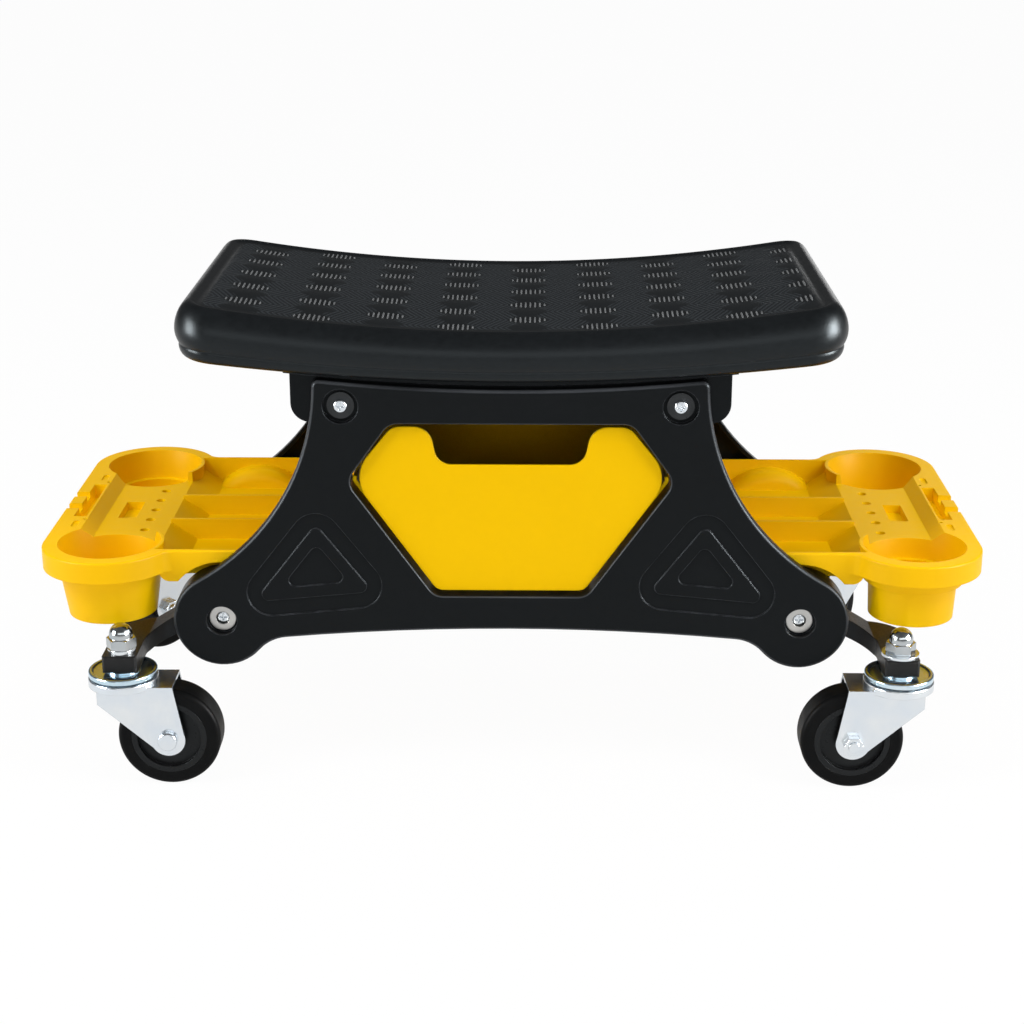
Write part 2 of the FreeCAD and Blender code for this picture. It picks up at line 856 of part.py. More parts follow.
def emboss(across, step, radius):
    corners = [(s.emboss_inner_x * across, s.emboss_inner_z), (s.emboss_top_x * across, s.emboss_top_z),
               (s.emboss_outer_x * across, s.emboss_outer_z)]
    return rounded(inset(corners, step), radius)


def panel(end):
    body = new_body(f"{end}_panel")
    face = s.panel_face_y
    back = face - s.panel_sheet
    sketch = sketch_on(body, "XZ_Plane", face)
    trace(sketch, panel_outline(0))
    pad(body, sketch, s.panel_flange, reverse=True)
    round_edges(body, lambda edge: near(edge.BoundBox.ZMin, s.panel_corner_z)
                and near(abs(edge.BoundBox.XMin), s.panel_corner_x)
                and near(edge.BoundBox.YLength, s.panel_flange), s.panel_corner_round)
    round_edges(body, lies_at("Y", -face), s.panel_round)
    sketch = sketch_on(body, "XZ_Plane", back)
    trace(sketch, panel_outline(s.panel_sheet))
    pocket(body, sketch, s.panel_flange)
    # Drums behind the lobes, bosses behind the screws, ledges under the trays.
    for across in sides.values():
        sketch = sketch_on(body, "XZ_Plane", back)
        circle(sketch, s.lobe_x * across, s.lobe_z, s.lobe_radius)
        circle(sketch, s.lobe_x * across, s.lobe_z, s.lobe_radius - s.panel_sheet)
        pad(body, sketch, back - lobe_back_y, reverse=True)
        sketch = sketch_on(body, "XZ_Plane", back)
        circle(sketch, s.lobe_x * across, s.lobe_z, s.lower_recess_radius + s.boss_wall)
        pad(body, sketch, back - lobe_back_y, reverse=True)
        sketch = sketch_on(body, "XZ_Plane", back)
        circle(sketch, s.upper_screw_x * across, s.upper_screw_z, s.upper_recess_radius + s.boss_wall)
        pad(body, sketch, s.panel_flange - s.panel_sheet, reverse=True)
        sketch = sketch_on(body, "XZ_Plane", back)
        rectangle(sketch, s.ledge_x * across - s.ledge_width / 2, s.tray_bottom_z - s.ledge_thickness,
                  s.ledge_x * across + s.ledge_width / 2, s.tray_bottom_z)
        pad(body, sketch, back - s.tray_half_depth + s.ledge_overlap, reverse=True)
    sketch = sketch_on(body, "XZ_Plane", back)
    trace(sketch, rounded(opening_corners(-s.panel_sheet), s.opening_round + s.panel_sheet))
    pad(body, sketch, s.opening_guide_depth - s.panel_sheet, reverse=True)
    sketch = sketch_on(body, "XZ_Plane", face)
    trace(sketch, rounded(opening_corners(0), s.opening_round))
    pocket(body, sketch, s.opening_guide_depth + s.overrun)
    reach = float(s.opening_mid_x)
    round_edges(body, lambda edge: lies_at("Y", -face)(edge) and edge.BoundBox.XMax < reach
                and edge.BoundBox.XMin > -reach, s.opening_edge_round)
    for across in sides.values():
        for x, z, radius, depth in (
                (s.upper_screw_x, s.upper_screw_z, s.upper_recess_radius, s.upper_recess_depth),
                (s.upper_screw_x, s.upper_screw_z, s.small_screw_radius + s.thread_gap, s.panel_flange),
                (s.lobe_x, s.lobe_z, s.lower_recess_radius, s.lower_recess_depth),
                (s.lobe_x, s.lobe_z, s.lower_bush_radius + s.thread_gap,
                 s.lower_recess_depth - s.lower_bush_proud + s.lower_bush_length),
                (s.lobe_x, s.lobe_z, s.lower_screw_radius + s.thread_gap, s.lobe_depth)):
            sketch = sketch_on(body, "XZ_Plane", face)
            circle(sketch, x * across, z, radius)
            pocket(body, sketch, depth)
        sketch = sketch_on(body, "XZ_Plane", face)
        trace(sketch, emboss(across, 0, s.emboss_round))
        pocket(body, sketch, s.emboss_depth)
        sketch = sketch_on(body, "XZ_Plane", face)
        trace(sketch, emboss(across, s.emboss_step, s.emboss_inner_round))
        pad(body, sketch, s.emboss_depth, reverse=True)
        sketch = sketch_on(body, "XZ_Plane", face)
        trace(sketch, emboss(across, s.emboss_inner_step, s.emboss_inner_round))
        pocket(body, sketch, s.emboss_depth)
        sketch = sketch_on(body, "XY_Plane", s.tray_bottom_z)
        circle(sketch, s.ledge_x * across, -tray_screw_y, s.small_screw_radius + s.thread_gap)
        pocket(body, sketch, s.ledge_thickness)
    if end == "rear":
        turned(body, 180)
    return body


# Drawer

def drawer():
    body = new_body("drawer")
    length = s.drawer_face_y * 2
    inside = (s.drawer_face_y - s.drawer_wall) * 2
    sketch = sketch_on(body, "XZ_Plane")
    trace(sketch, rounded(opening_corners(s.drawer_gap), s.opening_round - s.drawer_gap))
    pad(body, sketch, length, both=True)
    sketch = sketch_on(body, "XZ_Plane")
    wall = s.drawer_gap + s.drawer_wall
    trace(sketch, rounded(opening_corners(wall), s.opening_round - wall))
    pocket(body, sketch, inside, both=True)
    sketch = sketch_on(body, "XZ_Plane")
    rectangle(sketch, -s.opening_mid_x, s.drawer_side_z, s.opening_mid_x, s.opening_top_z)
    pocket(body, sketch, inside, both=True)
    # Handle notch in both ends, and two ribs that run on the panels' guides.
    sketch = sketch_on(body, "XZ_Plane")
    trace(sketch, handle_notch())
    pocket(body, sketch, length + s.overrun, both=True)
    for across in sides.values():
        sketch = sketch_on(body, "XZ_Plane")
        middle = s.drawer_rib_x * across
        rectangle(sketch, middle - s.drawer_rib_width / 2, s.opening_low_z + s.running_gap,
                  middle + s.drawer_rib_width / 2, s.opening_low_z + s.drawer_gap)
        pad(body, sketch, length - s.panel_flange * 2, both=True)
    return body


def handle_notch():
    # Flat-bottomed notch with sloped sides, rounded at the top edge and at the bottom.
    top_z = s.opening_top_z - s.drawer_gap
    above = top_z + s.overrun
    brim = s.notch_top_x + s.overrun
    right = [(s.notch_base_x, s.notch_base_z), (s.notch_top_x, top_z), (brim, top_z), (brim, above)]
    left = [(-x, z) for x, z in reversed(right)]
    bends = [s.notch_round, s.notch_round, 0, 0]
    return rounded(right + left, bends + bends[::-1])


# Trays

tray_screw_y = s.tray_half_depth - s.ledge_overlap / 2
tray_end_x = s.cup_x + s.cup_rim_radius
tray_floor_z = s.tray_bottom_z + s.tray_wall
deck_z = s.tray_rim_z - s.tray_deck_drop
band_z = s.tray_rim_z - s.rim_band
rib_top_z = s.tray_rim_z - s.tray_rib_drop
box_x = s.tray_deck_edge_x - s.tray_ramp_run / 4


def cone(body, kind, x, y, low, high, low_radius, high_radius):
    feature = body.newObject(f"PartDesign::{kind}Cone", "cup")
    bind(feature, "Radius1", low_radius)
    bind(feature, "Radius2", high_radius)
    bind(feature, "Height", high - low)
    bind(feature, "Placement.Base.x", x)
    bind(feature, "Placement.Base.y", y)
    bind(feature, "Placement.Base.z", low)
    return feature


def tray_cups(body):
    # A plain tapered cup at one corner, and a stepped cup with a ledge inside at the other.
    mouth = s.cup_mouth_radius
    foot = mouth - s.cup_taper
    floor = s.cup_bottom_z + s.cup_wall
    middle = mouth - s.cup_step
    lower = foot - s.cup_wall / 2
    cone(body, "Additive", -s.cup_x, -s.cup_y, s.cup_bottom_z, s.tray_rim_z, foot + s.cup_wall, mouth + s.cup_wall)
    cone(body, "Subtractive", -s.cup_x, -s.cup_y, floor, s.tray_rim_z, foot, mouth)
    cone(body, "Additive", -s.cup_x, s.cup_y, s.cup_step_z, s.tray_rim_z, middle + s.cup_wall, mouth + s.cup_wall)
    cone(body, "Additive", -s.cup_x, s.cup_y, s.cup_bottom_z, s.cup_step_z, lower + s.cup_wall,
         foot + s.cup_wall)
    cone(body, "Subtractive", -s.cup_x, s.cup_y, s.cup_step_z + s.cup_wall, s.tray_rim_z, middle, mouth)
    cone(body, "Subtractive", -s.cup_x, s.cup_y, floor, s.cup_step_z + s.cup_wall, lower, foot)


def segment(radius, chord_z):
    # Part of a circle about the lobe, above a level chord, on the left side.
    radius = float(radius)
    rise = float(chord_z) - float(s.lobe_z)
    half = math.sqrt(radius ** 2 - rise ** 2)
    start = flat(-float(s.lobe_x) + half, chord_z)
    finish = flat(-float(s.lobe_x) - half, chord_z)
    return [arc(start, flat(-s.lobe_x, float(s.lobe_z) + radius), finish), line(finish, start)]


def tray_arches(body):
    # Hollow arches in both long walls that clear the panel drums, with rounded humps inside.
    for ahead in ends.values():
        wall = s.tray_half_depth * -ahead
        depth = s.arch_depth + s.arch_wall
        sketch = sketch_on(body, "XZ_Plane", wall)
        trace(sketch, segment(s.arch_radius + s.arch_wall, s.tray_bottom_z))
        pad(body, sketch, depth, reverse=ahead < 0)
        hump_y = (s.tray_half_depth - depth) * ahead
        round_edges(body, lambda edge: lies_at("Y", hump_y)(edge) and hasattr(edge.Curve, "Radius")
                    and near(edge.Curve.Radius, s.arch_radius + s.arch_wall), s.hump_round)
        sketch = sketch_on(body, "XZ_Plane", wall)
        trace(sketch, segment(s.arch_radius, s.tray_bottom_z))
        pocket(body, sketch, s.arch_depth, reverse=ahead > 0)
        recess_y = (s.tray_half_depth - s.arch_depth) * ahead
        round_edges(body, lambda edge: lies_at("Y", recess_y)(edge) and hasattr(edge.Curve, "Radius")
                    and near(edge.Curve.Radius, s.arch_radius), s.hump_round - s.arch_wall)


def tray_tool_holders(body):
    # Slot with notches in the end bar, blind pocket and a row of round holes in the deck.
    sketch = sketch_on(body, "XY_Plane", s.tray_rim_z)
    rectangle(sketch, -(s.slot_x + s.slot_width / 2), -(s.slot_length / 2), -(s.slot_x - s.slot_width / 2),
              s.slot_length / 2)
    pocket(body, sketch, s.slot_depth)
    for index in range(slot_notch_count):
        place = s.slot_notch_pitch * (index - (slot_notch_count - 1) / 2)
        sketch = sketch_on(body, "XY_Plane", s.tray_rim_z)
        rectangle(sketch, -(tray_end_x + s.overrun), place - s.slot_notch_width / 2, -s.slot_x,
                  place + s.slot_notch_width / 2)
        pocket(body, sketch, s.slot_notch_depth)
    sketch = sketch_on(body, "XY_Plane", deck_z)
    rectangle(sketch, -(s.pocket_x + s.pocket_width / 2), -(s.pocket_length / 2),
              -(s.pocket_x - s.pocket_width / 2), s.pocket_length / 2)
    pocket(body, sketch, s.pocket_depth)
    sketch = sketch_on(body, "XY_Plane", deck_z)
    for index in range(tool_hole_count):
        place = s.tool_hole_pitch * (index - (tool_hole_count - 1) / 2)
        circle(sketch, -s.tool_hole_x, place, s.tool_hole_radius)
    pocket(body, sketch, deck_z - band_z)
    sketch = sketch_on(body, "XY_Plane", s.tray_rim_z)
    for ahead in ends.values():
        circle(sketch, -s.pilot_x, s.pilot_y * ahead, s.pilot_radius)
    pocket(body, sketch, s.slot_notch_depth)
    for ahead in ends.values():
        sketch = sketch_on(body, "XY_Plane", s.tray_rim_z)
        corners = []
        for x_sign, y_sign in ((-1, -1), (1, -1), (1, 1), (-1, 1)):
            corners.append((-s.slot_x + s.dimple_width / 2 * x_sign,
                            s.dimple_y * ahead + s.dimple_length / 2 * y_sign))
        trace(sketch, rounded(corners, s.dimple_width * dimple_round_share))
        pocket(body, sketch, s.dimple_depth)


def tray(side):
    # Modelled as the left tray; the right one is the same moulding turned about.
    body = new_body(f"{side}_tray")
    half = s.tray_half_depth
    inner = s.tray_inner_x
    sketch = sketch_on(body, "XY_Plane", s.tray_rim_z)
    rectangle(sketch, -box_x, -half, -inner, half)
    pad(body, sketch, s.tray_rim_z - s.tray_bottom_z, reverse=True)
    round_edges(body, lambda edge: lies_at("X", -box_x)(edge) and lies_at("Z", s.tray_bottom_z)(edge),
                s.tray_foot_round)
    sketch = sketch_on(body, "XY_Plane", s.tray_rim_z)
    rectangle(sketch, -tray_end_x, -s.cup_y, -(box_x - s.tray_wall), s.cup_y)
    pad(body, sketch, s.rim_band, reverse=True)
    sketch = sketch_on(body, "XY_Plane", s.tray_rim_z)
    for ahead in ends.values():
        circle(sketch, -s.cup_x, s.cup_y * ahead, s.cup_rim_radius)
    pad(body, sketch, s.rim_band, reverse=True)
    joint_x = -s.cup_x.number + math.sqrt(s.cup_rim_radius.number ** 2 - (half - s.cup_y).number ** 2)
    round_edges(body, lambda edge: near(edge.BoundBox.XMin, joint_x) and near(edge.BoundBox.XMax, joint_x)
                and near(abs(edge.BoundBox.YMin), half) and near(edge.BoundBox.ZLength, s.rim_band),
                s.rim_blend)
    round_edges(body, lies_at("Z", s.tray_rim_z), s.rim_edge_round)
    # Channels with a ramp from the deck, then the ribs between them.
    above = s.tray_rim_z + s.overrun
    ramp_foot = s.tray_deck_edge_x - s.tray_ramp_run
    sketch = sketch_on(body, "XZ_Plane")
    polygon(sketch, [(-s.tray_deck_edge_x, above), (-s.tray_deck_edge_x, deck_z), (-ramp_foot, tray_floor_z),
                     (-(inner + s.tray_wall), tray_floor_z), (-(inner + s.tray_wall), above)])
    pocket(body, sketch, (half - s.tray_wall) * 2, both=True)
    for ahead in ends.values():
        sketch = sketch_on(body, "XY_Plane", rib_top_z)
        rectangle(sketch, -s.tray_deck_edge_x, s.tray_rib_y * ahead - s.tray_rib_width / 2, -inner,
                  s.tray_rib_y * ahead + s.tray_rib_width / 2)
        pad(body, sketch, rib_top_z - s.tray_bottom_z, reverse=True)
        sketch = sketch_on(body, "XY_Plane", s.tray_bottom_z)
        circle(sketch, -s.ledge_x, tray_screw_y * ahead, s.small_screw_radius + s.boss_wall)
        pad(body, sketch, s.tray_screw_length)
    tray_cups(body)
    # Deck between the cups, with a sloped face up to the end bar.
    bar_x = tray_end_x - s.bar_width
    sketch = sketch_on(body, "XZ_Plane")
    polygon(sketch, [(-bar_x, above), (-bar_x, s.tray_rim_z), (-(bar_x - s.bar_slope), deck_z),
                     (-s.tray_deck_edge_x, deck_z), (-s.tray_deck_edge_x, above)])
    pocket(body, sketch, s.deck_half_depth * 2, both=True)
    tray_arches(body)
    tray_tool_holders(body)
    sketch = sketch_on(body, "XY_Plane", s.tray_bottom_z)
    for ahead in ends.values():
        circle(sketch, -s.ledge_x, tray_screw_y * ahead, s.small_screw_radius + s.thread_gap)
    pocket(body, sketch, s.tray_screw_length - s.tray_wall, reverse=True)
    if side == "right":
        turned(body, 180)
    return body


# Screws, bushes and nuts in the panels

def panel_fixings():
    washers = []
    upper = []
    bushes = []
    lower = []
    nuts = []
    floor_y = s.panel_face_y - s.upper_recess_depth
    seat_y = floor_y + s.upper_washer_thickness
    bush_front_y = s.panel_face_y - s.lower_recess_depth + s.lower_bush_proud
    head_room = s.lower_head_sink + s.lower_head_height
    head_y = bush_front_y - head_room
    nut_y = lobe_back_y - s.arm_depth
    screw = cross_screw(s.small_screw_radius, s.upper_screw_length, s.small_head_radius, s.small_head_height)
    long_screw = cross_screw(s.lower_screw_radius, head_y - nut_y + s.lower_nut_height + s.lower_screw_tail,
                             s.lower_head_radius, s.lower_head_height)
    washer = ring(s.upper_washer_radius, s.small_screw_radius + s.thread_gap, s.upper_washer_thickness)
    bush = ring(s.lower_bush_radius, s.lower_screw_radius + s.thread_gap, s.lower_bush_length)
    seat = Part.makeCylinder(float(s.lower_bush_bore), float(head_room))
    seat.translate(upright * float(s.lower_bush_length - head_room))
    bush = bush.cut(seat)
    nut = hexagon(s.lower_nut_across, 0, s.lower_nut_height)
    nut = nut.cut(Part.makeCylinder(float(s.lower_screw_radius + s.thread_gap), float(s.lower_nut_height)))
    for ahead in ends.values():
        outward = vector(0, ahead, 0)
        for across in sides.values():
            x = s.upper_screw_x * across
            washers.append(aim(washer, outward, x, floor_y * ahead, s.upper_screw_z))
            upper.append(aim(screw, outward, x, seat_y * ahead, s.upper_screw_z))
            x = s.lobe_x * across
            bushes.append(aim(bush, outward, x, (bush_front_y - s.lower_bush_length) * ahead, s.lobe_z))
            lower.append(aim(long_screw, outward, x, head_y * ahead, s.lobe_z))
            nuts.append(aim(nut, outward, x, (nut_y - s.lower_nut_height) * ahead, s.lobe_z))
    return [group("upper_washers", washers), group("upper_screws", upper), group("lower_bushes", bushes),
            group("lower_screws", lower), group("lower_nuts", nuts)]


def tray_screws():
    screw = cross_screw(s.small_screw_radius, s.tray_screw_length, s.small_head_radius, s.small_head_height)
    copies = []
    for across in sides.values():
        for ahead in ends.values():
            copies.append(aim(screw, -upright, s.ledge_x * across, tray_screw_y * ahead,
                              s.tray_bottom_z - s.ledge_thickness))
    return group("tray_screws", copies)


# Seat base and cushion

saddle_radius = arch_radius_through(float(s.cushion_half_length), float(s.saddle_rise))


def saddle_z(x, level):
    # Height at x of a saddle arc whose lowest point is at level.
    return float(level) + saddle_radius - math.sqrt(saddle_radius ** 2 - float(x) ** 2)


def saddle_arc(half_length, level):
    end_z = saddle_z(half_length, level)
    return arc(flat(-half_length, end_z), flat(0, level), flat(half_length, end_z))


base_top_z = s.cushion_mid_z - s.running_gap
base_under_z = base_top_z - s.base_sheet
skirt_half_depth = s.panel_face_y - s.panel_flange


def saddle_band(half_length, low, high):
    lower = saddle_arc(half_length, low)
    upper = saddle_arc(half_length, high)
    return [lower, line(lower.EndPoint, upper.EndPoint), upper, line(upper.StartPoint, lower.StartPoint)]


def under_saddle(half_length, low, high, corner):
    # Flat-bottomed block under the saddle, with rounded lower corners.
    roof = saddle_arc(half_length, high)
    half = float(half_length)
    low = float(low)
    corner = float(corner)
    bend = corner * (1 - math.sqrt(0.5))
    left = arc(flat(-half, low + corner), flat(-half + bend, low + bend), flat(-half + corner, low))
    right = arc(flat(half - corner, low), flat(half - bend, low + bend), flat(half, low + corner))
    return [roof, line(roof.EndPoint, flat(half, low + corner)), right,
            line(flat(half - corner, low), flat(-half + corner, low)), left,
            line(flat(-half, low + corner), roof.StartPoint)]


def seat_base():
    body = new_body("seat_base")
    sketch = sketch_on(body, "XZ_Plane")
    trace(sketch, saddle_band(s.base_half_length, base_under_z, base_top_z))
    pad(body, sketch, s.base_half_depth * 2, both=True)
    sketch = sketch_on(body, "XZ_Plane")
    roof_z = base_under_z + s.base_sheet / 2
    trace(sketch, under_saddle(s.skirt_half_length, s.skirt_bottom_z, roof_z, s.skirt_corner))
    pad(body, sketch, skirt_half_depth * 2, both=True)
    inside = s.skirt_half_length - s.skirt_wall
    sketch = sketch_on(body, "XZ_Plane")
    trace(sketch, under_saddle(inside, s.skirt_bottom_z - s.skirt_corner, base_under_z, s.skirt_wall))
    pocket(body, sketch, (skirt_half_depth - s.skirt_wall) * 2, both=True)
    # The skirt is cut up in the middle, over the drawer.
    sketch = sketch_on(body, "XZ_Plane")
    rectangle(sketch, -s.skirt_mid_half_length, s.skirt_bottom_z - s.skirt_corner, s.skirt_mid_half_length,
              s.skirt_mid_z)
    pocket(body, sketch, skirt_half_depth * 2 + s.overrun, both=True)
    # Bosses for the panel screws and for the cushion screws.
    for across in sides.values():
        for ahead in ends.values():
            sketch = sketch_on(body, "XZ_Plane", skirt_half_depth * -ahead)
            circle(sketch, s.upper_screw_x * across, s.upper_screw_z, s.skirt_boss_radius)
            pad(body, sketch, s.skirt_boss_length, reverse=ahead < 0)
            sketch = sketch_on(body, "XZ_Plane", skirt_half_depth * -ahead)
            circle(sketch, s.upper_screw_x * across, s.upper_screw_z, s.small_screw_radius + s.thread_gap)
            pocket(body, sketch, s.skirt_boss_length, reverse=ahead > 0)
            sketch = sketch_on(body, "XY_Plane", cushion_seat_z)
            circle(sketch, s.cushion_screw_x * across, s.cushion_screw_y * ahead, s.skirt_boss_radius)
            pad(body, sketch, s.cushion_boss_height)
            sketch = sketch_on(body, "XY_Plane", cushion_seat_z)
            circle(sketch, s.cushion_screw_x * across, s.cushion_screw_y * ahead,
                   s.small_screw_radius + s.thread_gap)
            pocket(body, sketch, s.cushion_boss_height + s.base_sheet, reverse=True)
    return body


cushion_seat_z = base_under_z - s.skirt_wall / 2


def eased(roll, distance):
    # How far a quarter-round edge has drawn in at a distance from the end.
    roll = float(roll)
    gap = max(roll - distance, 0)
    return roll - math.sqrt(roll ** 2 - gap ** 2)


def cushion_section(x):
    # Bolster rolls on both long sides, a crease beside each, and a gentle crown between.
    distance = float(s.cushion_half_length) - abs(x)
    depth = float(s.cushion_half_depth) - eased(s.cushion_end_round, distance)
    low = saddle_z(x, s.cushion_mid_z) + eased(s.cushion_lip, distance)
    high = saddle_z(x, s.cushion_mid_z + s.cushion_thickness) - eased(s.cushion_roll, distance)
    lip = min(float(s.cushion_lip), (high - low) / 3)
    roll = min(float(s.cushion_roll), (high - low) / 2)
    tuck = float(s.cushion_tuck)
    bend = 1 - math.sqrt(0.5)
    shelf = depth - roll - tuck
    crease = high - float(s.cushion_crease)
    crown = crease + float(s.cushion_crown)

    def side(sign):
        under = vector(x, sign * (depth - lip - tuck), low)
        edge = vector(x, sign * (depth - tuck), low + lip)
        waist = vector(x, sign * depth, high - roll)
        top = vector(x, sign * (depth - roll), high)
        groove = vector(x, sign * shelf, crease)
        lower = vector(x, sign * (depth - tuck - lip * bend), low + lip * bend)
        upper = vector(x, sign * (depth - roll * bend), high - roll * bend)
        return [Part.Arc(under, lower, edge), line(edge, waist), Part.Arc(waist, upper, top), line(top, groove)]

    right = side(1)
    left = []
    for curve in reversed(side(-1)):
        curve.reverse()
        left.append(curve)
    across = Part.Arc(right[-1].EndPoint, vector(x, 0, crown), left[0].StartPoint)
    under = line(left[-1].EndPoint, right[0].StartPoint)
    edges = [curve.toShape() for curve in right + [across] + left + [under]]
    return Part.Wire(edges)


def seat_cushion():
    half = float(s.cushion_half_length)
    near_end = float(s.cushion_end_round)
    stations = [half - near_end * share for share in cushion_end_shares]
    stations += [half * share for share in cushion_middle_shares]
    places = sorted({-x for x in stations} | set(stations) | {0.0})
    solid = Part.makeLoft([cushion_section(x) for x in places], True, True)
    for across in sides.values():
        for ahead in ends.values():
            hole = Part.makeCylinder(float(s.small_screw_radius + s.running_gap), float(s.cushion_thickness))
            tip = float(cushion_seat_z + s.cushion_screw_length + s.running_gap)
            hole.translate(vector(float(s.cushion_screw_x) * across, float(s.cushion_screw_y) * ahead,
                                  tip - float(s.cushion_thickness)))
            solid = solid.cut(hole)
    item = doc.addObject("Part::Feature", "seat_cushion")
    item.Label = "seat_cushion"
    item.Shape = solid
    return item


def cushion_screws():
    screw = cross_screw(s.small_screw_radius, s.cushion_screw_length, s.small_head_radius, s.small_head_height)
    copies = []
    for across in sides.values():
        for ahead in ends.values():
            copies.append(aim(screw, -upright, s.cushion_screw_x * across, s.cushion_screw_y * ahead,
                              cushion_seat_z))
    return group("cushion_screws", copies)


# The whole seat

pieces = [seat_cushion(), seat_base(), cushion_screws(), drawer(), tray_screws(), swivel_balls()]
pieces += [panel(end) for end in ends]
pieces += [tray(side) for side in sides]
pieces += caster_tops() + panel_fixings()
for corner in caster_headings:
    for make in (caster_arm, stem, fork, axle_bolt, axle_nut, tyre, wheel_core, axle_bush):
        pieces.append(make(corner))
doc.recompute()

faults = [item.Label for item in doc.Objects if "Invalid" in item.State or "Error" in item.State]
for piece in pieces:
    if piece.Shape.isNull() or not piece.Shape.isValid() or not piece.Shape.Solids:
        faults.append(piece.Label)
if faults:
    raise RuntimeError(f"failed: {faults}")

os.makedirs("parts", exist_ok=True)
for piece in pieces:
    piece.Shape.exportStep(f"parts/{piece.Label}.step")
    print(piece.Label, len(piece.Shape.Solids), round(piece.Shape.Volume), piece.Shape.BoundBox)
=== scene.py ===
import math

import bmesh
import bpy
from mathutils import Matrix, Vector


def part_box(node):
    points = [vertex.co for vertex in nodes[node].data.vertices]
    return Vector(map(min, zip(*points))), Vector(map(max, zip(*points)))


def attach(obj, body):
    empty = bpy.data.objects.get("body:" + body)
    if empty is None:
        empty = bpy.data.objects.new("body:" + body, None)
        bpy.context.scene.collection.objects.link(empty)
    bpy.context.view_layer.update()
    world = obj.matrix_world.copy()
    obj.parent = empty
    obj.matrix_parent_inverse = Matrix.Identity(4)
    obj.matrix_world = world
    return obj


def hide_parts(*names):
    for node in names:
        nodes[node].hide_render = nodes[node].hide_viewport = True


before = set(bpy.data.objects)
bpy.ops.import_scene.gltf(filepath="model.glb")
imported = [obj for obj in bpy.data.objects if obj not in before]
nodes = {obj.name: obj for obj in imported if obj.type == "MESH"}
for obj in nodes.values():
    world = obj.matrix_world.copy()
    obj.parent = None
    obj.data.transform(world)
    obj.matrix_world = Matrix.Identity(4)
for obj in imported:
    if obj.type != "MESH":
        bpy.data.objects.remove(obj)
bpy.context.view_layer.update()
print("frame loaded:", len(nodes), "nodes")


# Node helpers

edgeSamples = 6
edgeCosines = (0.80, 0.985)  # between the softened and the true facing, at a sharp edge and on open surface
noiseBand = (0.3, 0.7)  # most values of a noise lie here


def addNode(tree, kind, sockets=None, **fields):
    made = tree.nodes.new("ShaderNode" + kind)
    for field, value in fields.items():
        setattr(made, field, value)
    for socket, value in (sockets or {}).items():
        if isinstance(value, bpy.types.NodeSocket):
            tree.links.new(value, made.inputs[socket])
        else:
            made.inputs[socket].default_value = value
    return made


def calc(tree, operation, *values):
    return addNode(tree, "Math", dict(enumerate(values)), operation=operation).outputs[0]


def spread(tree, value, low, high, start=0.0, finish=1.0):
    # start to finish becomes low to high
    made = addNode(tree, "MapRange", {0: value, 1: start, 2: finish, 3: low, 4: high})
    return made.outputs[0]


def fullCover(colour):
    # a plain colour gets its fourth value, a socket stays as it is
    return (*colour, 1) if isinstance(colour, tuple) else colour


def blendColours(tree, share, first, second):
    made = addNode(tree, "Mix", {0: share, 6: fullCover(first), 7: fullCover(second)}, data_type="RGBA")
    return made.outputs[2]


def shade(colour, factor):
    return tuple(min(part * factor, 1.0) for part in colour)


def darkToLight(tree, share, look):
    dark, light = shade(look["colour"], look["dark"]), shade(look["colour"], look["light"])
    return blendColours(tree, share, dark, light)


def startMaterial(name, sockets):
    material = bpy.data.materials.new(name)
    material.use_nodes = True
    tree = material.node_tree
    tree.nodes.clear()
    shader = addNode(tree, "BsdfPrincipled", sockets)
    addNode(tree, "OutputMaterial", {0: shader.outputs[0]})
    return material, tree, shader


def objectCoords(tree):
    return addNode(tree, "TexCoord").outputs["Object"]


def stretchedCoords(tree, coords, stretch):
    return addNode(tree, "Mapping", {"Vector": coords, "Scale": stretch}).outputs[0]


def noiseOf(tree, coords, size, detail=3.0, rough=0.5):
    return addNode(tree, "TexNoise", {"Vector": coords, "Scale": 1 / size, "Detail": detail,
                                      "Roughness": rough}).outputs[0]


def facingOf(tree):
    return addNode(tree, "NewGeometry").outputs["Normal"]


def softEdges(tree, radius):
    return addNode(tree, "Bevel", {"Radius": radius}, samples=edgeSamples).outputs[0]


def edgeShare(tree, soft):
    # 1 at a sharp edge, 0 on open surface
    sockets = {0: soft, 1: facingOf(tree)}
    along = addNode(tree, "VectorMath", sockets, operation="DOT_PRODUCT").outputs["Value"]
    return spread(tree, along, 1, 0, *edgeCosines)


def openShare(tree, reach, samples):
    # 1 on open surface, less where other surfaces shelter it
    return addNode(tree, "AmbientOcclusion", {"Distance": reach}, samples=samples).outputs["AO"]


def roughAround(tree, noise, look):
    low, high = look["rough"] - look["roughSpread"], look["rough"] + look["roughSpread"]
    return spread(tree, noise, low, high, *noiseBand)


def setSurface(tree, shader, colour, rough):
    tree.links.new(colour, shader.inputs["Base Color"])
    tree.links.new(rough, shader.inputs["Roughness"])


def setBump(tree, shader, height, depth, strength=1.0, soft=None):
    sockets = {"Height": height, "Distance": depth, "Strength": strength}
    if soft is not None:
        sockets["Normal"] = soft
    bump = addNode(tree, "Bump", sockets).outputs[0]
    tree.links.new(bump, shader.inputs["Normal"])


# Finishes

